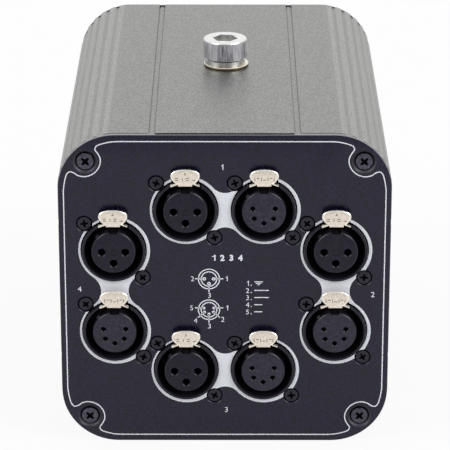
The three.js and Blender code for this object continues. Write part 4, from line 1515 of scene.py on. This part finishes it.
def screw_mesh(head_radius, shank_radius, length, turn):
    """A countersunk screw with a slightly domed head and a tapered cross."""
    sink = 0.15 * MM
    rim = sink + 0.25 * MM
    dome = head_radius * 0.06
    cone = head_radius - shank_radius
    profile = [(0, sink - dome), (head_radius * 0.45, sink - dome * 0.8), (head_radius * 0.85, sink),
               (head_radius * 0.97, sink + 0.1 * MM), (head_radius, rim),
               (shank_radius, rim + cone), (shank_radius, length), (0, length)]
    body = turned(profile, 32)
    reach, waist, tip = head_radius * 0.57, head_radius * 0.19, head_radius * 0.12
    mouth = [(-reach, -tip), (-waist, -waist), (waist, -waist), (reach, -tip),
             (reach, tip), (waist, waist), (-waist, waist), (-reach, tip)]
    arms = []
    for quarter in (0, math.pi / 2):
        arm = prism(mouth, [(sink - PAST, 0), (sink, 0),
                            (sink + head_radius * 0.6, head_radius * 0.05)])
        arms.append(placed(arm, Matrix.Rotation(quarter, 4, "Y")))
    cross = combined(arms[0], [arms[1]], "UNION")
    return combined(body, [placed(cross, Matrix.Rotation(turn, 4, "Y"))], "DIFFERENCE")


def screw_piece(mesh, name, finish, nodes, place, heads):
    """A screw, or several, with painted shade in the cross of each head. A head is x, z, radius and
    level.
    """
    made = piece(mesh, name, finish, "root", nodes)
    # The cross of each head is painted near-black: painted shade in the recess
    inside = finish_of("cross", painted_shade_plastic, "black_oxide_recess", linear("#060509"))
    back = place.inverted()

    def in_shaded_cross(face):
        at = back @ face.center
        for x, z, radius, level in heads:
            distance = math.hypot(at.x - x, at.z - z)
            if distance < radius * 0.7 and level + 0.2 * MM < at.y < level + radius:
                return True
        return False

    refaced(made, inside, in_shaded_cross)


def flange_sinks(places, face, head_radius):
    """Cutters for the screw holes in the flange of a rear connector."""
    return gathered([shifted(countersink(head_radius, x, z), y=face) for x, z in places])


def flange_screws(name, place, places, face, head_radius, shank_radius, length, turn):
    """The two screws in the flange of a rear connector, turned as far either way."""
    screws = [shifted(screw_mesh(head_radius, shank_radius, length, math.radians(turn * side)),
                      x, face, z) for side, (x, z) in zip((-1, 1), places)]
    heads = [(x, z, head_radius, face) for x, z in places]
    screw_piece(placed(gathered(screws), place), name, black_oxide(), [], place, heads)


class SPLITTER_OT_screws(bpy.types.Operator):
    """Builds the countersunk screws of the sockets and of the two end plates"""

    bl_idname = "splitter.screws"
    bl_label = "Screws"

    def execute(self, context):
        settings = context.scene.splitter
        look = settings.screw
        offset = settings.socket.lug_offset
        for index, name in enumerate(SOCKET_NAMES):
            centre = socket_centre(name)
            for side, row in ((-1, "upper"), (1, "lower")):
                # Each screw came to rest at another angle
                turn = -math.radians(17 * (2 * index + side))
                screw = screw_mesh(look.socket_head_radius, shank_radius=1.3 * MM, length=9 * MM,
                                   turn=turn)
                spot = (centre.x + side * offset, 0, centre.z - side * offset)
                place = FRONT_PLACE @ Matrix.Translation(spot)
                screw_piece(placed(screw, place), f"{name}_{row}_fixing", black_oxide(),
                            [f"{name}_screw_{row}"], place, [(0, 0, look.socket_head_radius, 0)])
        # Phosphated steel is greyer and more speckled than the oxide on the sockets' screws
        grey = finish_of("corner_screw", plated_metal, "phosphated_black_steel", look.corner_colour,
                         0.4, 0.6 * MM, 0.55, 1.5)
        for end, place in ENDS:
            for x, z in corner_places(look):
                row = "upper" if z > 0 else "lower"
                column = "right" if x > 0 else "left"
                screw = screw_mesh(look.corner_head_radius, shank_radius=1.5 * MM, length=14 * MM,
                                   turn=math.radians(45))
                spot = place @ Matrix.Translation((x, 0, z))
                screw_piece(placed(screw, spot), f"{end}_{row}_{column}_fixing", grey,
                            [f"{end}_screw_{row}_{column}"], spot, [(0, 0, look.corner_head_radius, 0)])
        return {"FINISHED"}


# Bolt and washers


def along_z(mesh, z=0):
    """A mesh made along Y, stood up so that its front faces up."""
    return placed(mesh, Matrix.Translation((0, 0, z)) @ Matrix.Rotation(-math.pi / 2, 4, "X"))


class SPLITTER_OT_mount_bolt(bpy.types.Operator):
    """Builds the knurled hexagon-socket bolt that the splitter hangs from"""

    bl_idname = "splitter.mount_bolt"
    bl_label = "Mount bolt"

    def execute(self, context):
        look = context.scene.splitter.bolt
        low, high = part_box("mount_bolt")
        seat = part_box("spring_washer")[1].z
        outline = []
        pitch = 2 * math.pi / look.knurl_count
        for index in range(look.knurl_count):
            for share, depth in ((-0.5, 0.3 * MM), (-0.2, 0), (0.2, 0)):
                angle = (index + share) * pitch
                outline.append(((look.head_radius - depth) * math.cos(angle),
                                (look.head_radius - depth) * math.sin(angle)))
        top = -(high.z - seat)
        knurled = prism(outline, [(top + 0.25 * MM, 0.25 * MM), (top + 0.5 * MM, 0),
                                  (-0.3 * MM, 0), (-0.08 * MM, 0.25 * MM)])
        edge = 0.4 * MM
        radius = look.head_radius - 0.1 * MM
        crown = [(0, top), (radius - edge, top)]
        crown += [(radius - edge + edge * math.sin(angle), top + edge - edge * math.cos(angle))
                  for angle in (0.5, 1.0, math.pi / 2)]
        core = turned(crown + [(radius - 0.3 * MM, top + edge + 0.2 * MM),
                               (radius - 0.3 * MM, -0.05 * MM), (radius - 0.4 * MM, 0), (0, 0)], 64)
        shank_length = seat - low.z
        bevel = 0.5 * MM
        shank = turned([(0, -0.5 * MM), (look.radius, -0.5 * MM), (look.radius, shank_length - bevel),
                        (look.radius - bevel, shank_length), (0, shank_length)], 48)
        bolt = combined(core, [knurled, shank], "UNION")
        hex_radius = look.hex_across_flats / math.sqrt(3)
        mouth = 0.15 * MM
        socket = turned([(0, top - PAST), (hex_radius + mouth, top - PAST),
                         (hex_radius + mouth, top), (hex_radius, top + mouth),
                         (hex_radius, top + look.hex_depth), (0, top + look.hex_depth + 1.2 * MM)], 6)
        # The bolt came to rest with its hexagon a little askew
        socket = placed(socket, Matrix.Rotation(math.radians(8), 4, "Y"))
        bolt = combined(bolt, [socket], "DIFFERENCE")
        finish = finish_of("zinc", plated_metal, "zinc_plated_steel", look.colour, 0.3, 1.5 * MM, 0.92,
                           1.03, 0.04)
        made = piece(along_z(bolt, seat), "hanging_bolt", finish, "bolt", ["mount_bolt"])
        # The knurled side is a little rougher, and streaked darker: painted shade in its crevices
        knurl = finish_of("knurl", plated_metal, "zinc_plated_knurl", look.knurl_shade_colour, 0.32,
                          0.6 * MM, 0.55, 1.25, 0.3, (1, 1, 0.12))
        refaced(made, knurl, lambda face: seat < face.center.z < high.z - 0.6 * MM
                and math.hypot(face.center.x, face.center.y) > look.head_radius - 0.7 * MM)
        return {"FINISHED"}


class SPLITTER_OT_washers(bpy.types.Operator):
    """Builds the spring washer and the flat washer under the bolt"""

    bl_idname = "splitter.washers"
    bl_label = "Washers"

    def execute(self, context):
        look = context.scene.splitter.bolt
        soft = 0.15 * MM
        # The flat washer's lower part is painted a dark, yellowish zinc: painted shade under the washer
        underside_shade = finish_of("underside_shade", plated_metal, "browned_zinc_plating", linear("#8A7F66"),
                              0.35, 1 * MM)
        # The spring washer twists, so its rim stands a little off the bolt's head. The flat washer lies
        # off centre, as far as its clearance lets it
        for node, name, plating, shade, outer, rim, aside in (
                ("flat_washer", "washer_flat", "yellowed_zinc_plating", "#EAE6D9", 8.1 * MM, 0,
                 0.4 * MM),
                ("spring_washer", "washer_spring", "bright_zinc_plating", "#E6E5E2", 7.35 * MM,
                 0.4 * MM, 0)):
            finish = finish_of(name, plated_metal, plating, linear(shade), 0.24, 1.5 * MM, 0.85, 1.05,
                               0.1)
            low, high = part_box(node)
            inner = look.radius + 0.5 * MM
            height = high.z - low.z
            upper = -height + rim
            ring = turned([(inner, -height + soft), (inner + soft, upper), (6.4 * MM, upper),
                           (6.5 * MM, upper), (outer - soft, upper), (outer, upper + soft),
                           (outer, -2 * soft), (outer - 2 * soft, 0), (inner + soft, 0),
                           (inner, -soft)], 64, closed=True)
            ring = shifted(along_z(ring, low.z), aside)
            if node == "spring_washer":
                split = box_mesh((0, -0.6 * MM, low.z - PAST),
                                 (outer + 2 * MM, 0.6 * MM, high.z + PAST))
                split = placed(split, Matrix.Rotation(math.radians(120), 4, "Z"))
                ring = combined(ring, [split], "DIFFERENCE")
            made = piece(ring, name, finish, "washers", [node])
            if node == "flat_washer":
                # Painted shade on the lower part of the flat washer
                refaced(made, underside_shade, lambda face: face.center.z < low.z + 0.6 * height)
        return {"FINISHED"}


# Rear connectors


INPUT_SCREWS = [(side * 9.5 * MM, -side * 12 * MM) for side in (-1, 1)]
INPUT_FACE = -2.5 * MM  # outer face of the flange
INPUT_HEAD = 1.9 * MM
INPUT_CAVITY_RADIUS = 7.8 * MM
INPUT_PIN_RADIUS = {3: 1.2 * MM, 5: 0.8 * MM}


class SPLITTER_OT_inputs(bpy.types.Operator):
    """Builds the 5-pin and 3-pin input sockets on the rear panel"""

    bl_idname = "splitter.inputs"
    bl_label = "Inputs"

    def execute(self, context):
        look = context.scene.splitter.socket
        for node, pins in (("input_5pin", 5), ("input_3pin", 3)):
            middle = rear_middle(node)
            place = REAR_PLACE @ Matrix.Translation((middle.x, 0, middle.z))
            flange = prism(rounded_rectangle(26 * MM, 31 * MM, 4 * MM),
                           [(INPUT_FACE, 0.5 * MM), (INPUT_FACE + 0.15 * MM, 0.15 * MM),
                            (INPUT_FACE + 0.5 * MM, 0), (0, 0)])
            barrel = rod(INPUT_BARREL_RADIUS, -1.2 * MM, 19 * MM, 64)
            rim = turned([(7.6 * MM, -2 * MM), (10.6 * MM, -2 * MM), (10.6 * MM, -2.9 * MM),
                          (10.3 * MM, -3.2 * MM), (7.9 * MM, -3.2 * MM), (7.6 * MM, -2.9 * MM)], 64,
                         closed=True)
            body = combined(flange, [barrel, rim], "UNION")
            cavity = rod(INPUT_CAVITY_RADIUS, -5 * MM, 10.5 * MM, 64)
            body = combined(body, [cavity, flange_sinks(INPUT_SCREWS, INPUT_FACE, INPUT_HEAD)],
                            "DIFFERENCE")
            key = centred_box(half=1.4 * MM, front=-1.8 * MM, back=10.4 * MM, bottom=6.6 * MM,
                              top=8 * MM)
            body = combined(body, [key], "UNION")
            piece(placed(body, place), f"{node}_socket", black_nylon(), "root", [node])
            radius = INPUT_PIN_RADIUS[pins]
            tip, shoulder, root = 0.5 * MM, 1.4 * MM, 11 * MM
            rods = [shifted(turned([(0, tip), (radius * 0.6, 0.6 * MM), (radius, shoulder),
                                    (radius, root), (0, root)], 24), x, 0, z)
                    for x, z in pin_places(pins, look.pin_circle_radius)]
            piece(placed(gathered(rods), place), f"{node}_pins", silver_plating(), "root", [])
            flange_screws(f"{node}_fixings", place, INPUT_SCREWS, INPUT_FACE, INPUT_HEAD,
                          shank_radius=1.1 * MM, length=6 * MM, turn=30)
        return {"FINISHED"}


INLET_SCREWS = [(side * 20 * MM, 0) for side in (-1, 1)]
INLET_FACE = -3 * MM  # outer face of the flange
INLET_HEAD = 2.2 * MM
PLUG_RISE = 5.4 * MM  # of the plug's recess above the inlet's middle
DRAWER_MIDDLE = (0, -10 * MM)


class SPLITTER_OT_mains_inlet(bpy.types.Operator):
    """Builds the mains inlet and its fuse drawer"""

    bl_idname = "splitter.mains_inlet"
    bl_label = "Mains inlet"

    def execute(self, context):
        middle = rear_middle("mains_inlet")
        place = REAR_PLACE @ Matrix.Translation((middle.x, 0, middle.z))
        flange = prism(rounded_rectangle(50 * MM, 33 * MM, 5 * MM),
                       [(INLET_FACE, 0.6 * MM), (INLET_FACE + 0.2 * MM, 0.2 * MM),
                        (INLET_FACE + 0.6 * MM, 0), (0, 0)])
        body = centred_box(INLET_BODY_HALF_WIDTH, -1.5 * MM, 24 * MM, -INLET_BODY_HALF_HEIGHT,
                           INLET_BODY_HALF_HEIGHT)
        inlet = combined(flange, [body], "UNION")
        x, z, cut = 12.1 * MM, 8.3 * MM, 5 * MM
        outline = [(-x, -z), (x, -z), (x, z - cut), (x - cut, z), (-x + cut, z), (-x, z - cut)]
        outline = [(px, pz + PLUG_RISE) for px, pz in outline]
        recess = prism(outline, [(-5 * MM, -0.5 * MM), (INLET_FACE, -0.5 * MM), (-2.5 * MM, 0),
                                 (13 * MM, 0)])
        slot = centred_box(half=11 * MM, front=-5 * MM, back=17.3 * MM, bottom=-13.7 * MM,
                           top=-6.3 * MM)
        inlet = combined(inlet, [recess, slot, flange_sinks(INLET_SCREWS, INLET_FACE, INLET_HEAD)],
                         "DIFFERENCE")
        piece(placed(inlet, place), "mains_socket", black_nylon(), "root", ["mains_inlet"])
        blades = [prism(rounded_rectangle(2 * MM, 4 * MM, 0.3 * MM, 3, (bx, bz + PLUG_RISE)),
                        [(0, 0.4 * MM), (0.8 * MM, 0), (14 * MM, 0)])
                  for bx, bz in ((-7 * MM, -2 * MM), (7 * MM, -2 * MM), (0, 2 * MM))]
        piece(placed(gathered(blades), place), "mains_blades", silver_plating(), "root", [])
        flange_screws("mains_fixings", place, INLET_SCREWS, INLET_FACE, INLET_HEAD,
                      shank_radius=1.3 * MM, length=8 * MM, turn=25)
        tray = prism(rounded_rectangle(21.4 * MM, 6.8 * MM, 0.6 * MM, 4, DRAWER_MIDDLE),
                     [(INLET_FACE, 0.25 * MM), (INLET_FACE + 0.3 * MM, 0), (17 * MM, 0)])
        grip = prism(rounded_rectangle(10.7 * MM, 1.6 * MM, 0.5 * MM, 4, DRAWER_MIDDLE),
                     [(-4.5 * MM, 0.25 * MM), (-4.2 * MM, 0), (-1.5 * MM, 0)])
        drawer = combined(tray, [grip], "UNION")
        piece(placed(drawer, place), "fuse_tray_drawer", black_nylon(), "fuse_tray",
              ["fuse_drawer"])
        return {"FINISHED"}


class SPLITTER_OT_boards(bpy.types.Operator):
    """Finishes the main board and builds the output board with its socket contacts"""

    bl_idname = "splitter.boards"
    bl_label = "Circuit boards"

    def execute(self, context):
        look = context.scene.splitter.socket
        finish = finish_of("board", circuit_board)
        main_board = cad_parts["main_board"]
        main_board.data.materials.clear()
        main_board.data.materials.append(finish)
        low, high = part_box("output_board")
        front = look.cavity_depth + BACK_WALL + FLANGE_THICKNESS
        thickness = 1.6 * MM
        half_x, half_z = (high.x - low.x) / 2, (high.z - low.z) / 2
        cut = 6 * MM
        corners = [(-half_x + cut, -half_z), (half_x - cut, -half_z), (half_x, -half_z + cut),
                   (half_x, half_z - cut), (half_x - cut, half_z), (-half_x + cut, half_z),
                   (-half_x, half_z - cut), (-half_x, -half_z + cut)]
        board = prism(corners, [(front, 0), (front + thickness, 0)])
        header = centred_box(half=12.7 * MM, front=front + thickness / 2, back=high.y - PANEL_LOW.y,
                             bottom=-2.4 * MM, top=2.4 * MM)
        board = combined(board, [header], "UNION")
        piece(placed(board, FRONT_PLACE), "output_circuit_board", finish, "root", ["output_board"])
        # Each contact is a tube, set back in its hole
        tubes = []
        for name in SOCKET_NAMES:
            centre = socket_centre(name)
            pins = pins_of(name)
            radius = (look.three_pin_radius if pins == 3 else look.five_pin_radius) - GAP
            for x, z in pin_places(pins, look.pin_circle_radius):
                profile = [(radius * 0.72, 6.3 * MM), (radius * 0.9, 6.3 * MM), (radius, 6.5 * MM),
                           (radius, front), (radius * 0.72, front)]
                tubes.append(shifted(turned(profile, 16, closed=True), centre.x + x, 0,
                                     centre.z + z))
        brass = finish_of("brass", plated_metal, "gold_plated_brass", linear("#C9A45A"), 0.3, 1 * MM)
        piece(placed(gathered(tubes), FRONT_PLACE), "socket_contacts", brass, "root", [])
        return {"FINISHED"}


# Stage


TABLE_REACH = 3.0
TABLE_THICKNESS = 20 * MM
# The point that the camera looks at, to the right of the middle and above the table
AIM_RIGHT, AIM_HEIGHT = 0.1 * MM, 81.379 * MM
# Each soft lamp's name, tilt, turn and spread in degrees, and strength
LAMPS = (("overhead_softbox", 35, 180, 110, 0.85), ("right_softbox", 55, 60, 36, 1.3),
         ("left_softbox", 55, -60, 36, 0.9))


class SPLITTER_OT_stage(bpy.types.Operator):
    """Sets up the table, the soft lights, the white background and the camera"""

    bl_idname = "splitter.stage"
    bl_label = "Stage"

    def execute(self, context):
        look = context.scene.splitter.stage
        scene = context.scene
        scene.view_settings.view_transform = "Standard"
        table = as_object(centred_box(TABLE_REACH, -TABLE_REACH, TABLE_REACH, -TABLE_THICKNESS, 0),
                          "table")
        table.data.materials.append(finish_of("table", pale_floor, look.floor_colour))

        world = bpy.data.worlds.new("studio")
        world.use_nodes = True
        tree = world.node_tree
        tree.nodes.clear()
        white = background_rays(tree)
        # The room is darker behind the camera, which is what the front of the bolt mirrors
        place = add_node(tree, "ShaderNodeTexCoord")
        parts = add_node(tree, "ShaderNodeSeparateXYZ", links={"Vector": place.outputs["Generated"]})
        room = add_node(tree, "ShaderNodeMapRange",
                        {"From Min": -1.0, "From Max": -0.35, "To Min": 0.12, "To Max": 0.42},
                        {"Value": parts.outputs["Y"]})
        soft = add_node(tree, "ShaderNodeBackground", {"Color": linear("#F4F6FA") + [1]},
                        {"Strength": room.outputs[0]})
        plain = add_node(tree, "ShaderNodeBackground", {"Color": (1, 1, 1, 1), "Strength": 1.0})
        mixed = add_node(tree, "ShaderNodeMixShader", links={0: white.outputs[0], 1: soft.outputs[0],
                                                             2: plain.outputs[0]})
        add_node(tree, "ShaderNodeOutputWorld", links={"Surface": mixed.outputs[0]})
        scene.world = world

        # Each soft lamp is a wide sun, so that the table is lit evenly as far as it reaches
        for name, tilt, turn, spread, power in LAMPS:
            data = bpy.data.lights.new(name, "SUN")
            data.energy = power
            data.angle = math.radians(spread)
            lamp = bpy.data.objects.new(name, data)
            lamp.rotation_euler = (math.radians(tilt), 0, math.radians(turn))
            scene.collection.objects.link(lamp)

        data = bpy.data.cameras.new("camera")
        data.sensor_fit = "HORIZONTAL"
        data.sensor_width = 36
        data.lens = look.lens
        data.clip_start = 0.05
        data.clip_end = 20
        camera = bpy.data.objects.new("camera", data)
        target = Vector((AIM_RIGHT, PANEL_LOW.y, AIM_HEIGHT))
        back = Vector((math.sin(look.azimuth) * math.cos(look.elevation),
                       -math.cos(look.azimuth) * math.cos(look.elevation), math.sin(look.elevation)))
        camera.location = target + back * look.distance
        camera.rotation_euler = (-back).to_track_quat("-Z", "Y").to_euler()
        scene.collection.objects.link(camera)
        scene.camera = camera
        return {"FINISHED"}


OPERATORS = (SPLITTER_OT_stage, SPLITTER_OT_housing, SPLITTER_OT_front_panel, SPLITTER_OT_rear_panel,
             SPLITTER_OT_printed_marks, SPLITTER_OT_sockets, SPLITTER_OT_latches, SPLITTER_OT_screws,
             SPLITTER_OT_mount_bolt, SPLITTER_OT_washers, SPLITTER_OT_inputs, SPLITTER_OT_mains_inlet,
             SPLITTER_OT_boards)


class SPLITTER_PT_sidebar(bpy.types.Panel):
    """Lists the operators that build the splitter"""

    bl_idname = "SPLITTER_PT_sidebar"
    bl_label = "DMX splitter"
    bl_space_type = "VIEW_3D"
    bl_region_type = "UI"
    bl_category = "Splitter"

    def draw(self, context):
        for operator in OPERATORS:
            self.layout.operator(operator.bl_idname)


CLASSES = (HousingProperties, PanelProperties, PrintProperties, SocketProperties, LatchProperties,
           ScrewProperties, BoltProperties, StageProperties, SplitterProperties, *OPERATORS,
           SPLITTER_PT_sidebar)


def register():
    for made in CLASSES:
        bpy.utils.register_class(made)
    bpy.types.Scene.splitter = PointerProperty(type=SplitterProperties)


def unregister():
    del bpy.types.Scene.splitter
    for made in reversed(CLASSES):
        bpy.utils.unregister_class(made)


def main():
    """Builds every piece in order."""
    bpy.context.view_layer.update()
    register()
    for operator in OPERATORS:
        group, name = operator.bl_idname.split(".")
        getattr(getattr(bpy.ops, group), name)()


if __name__ == "__main__":
    main()
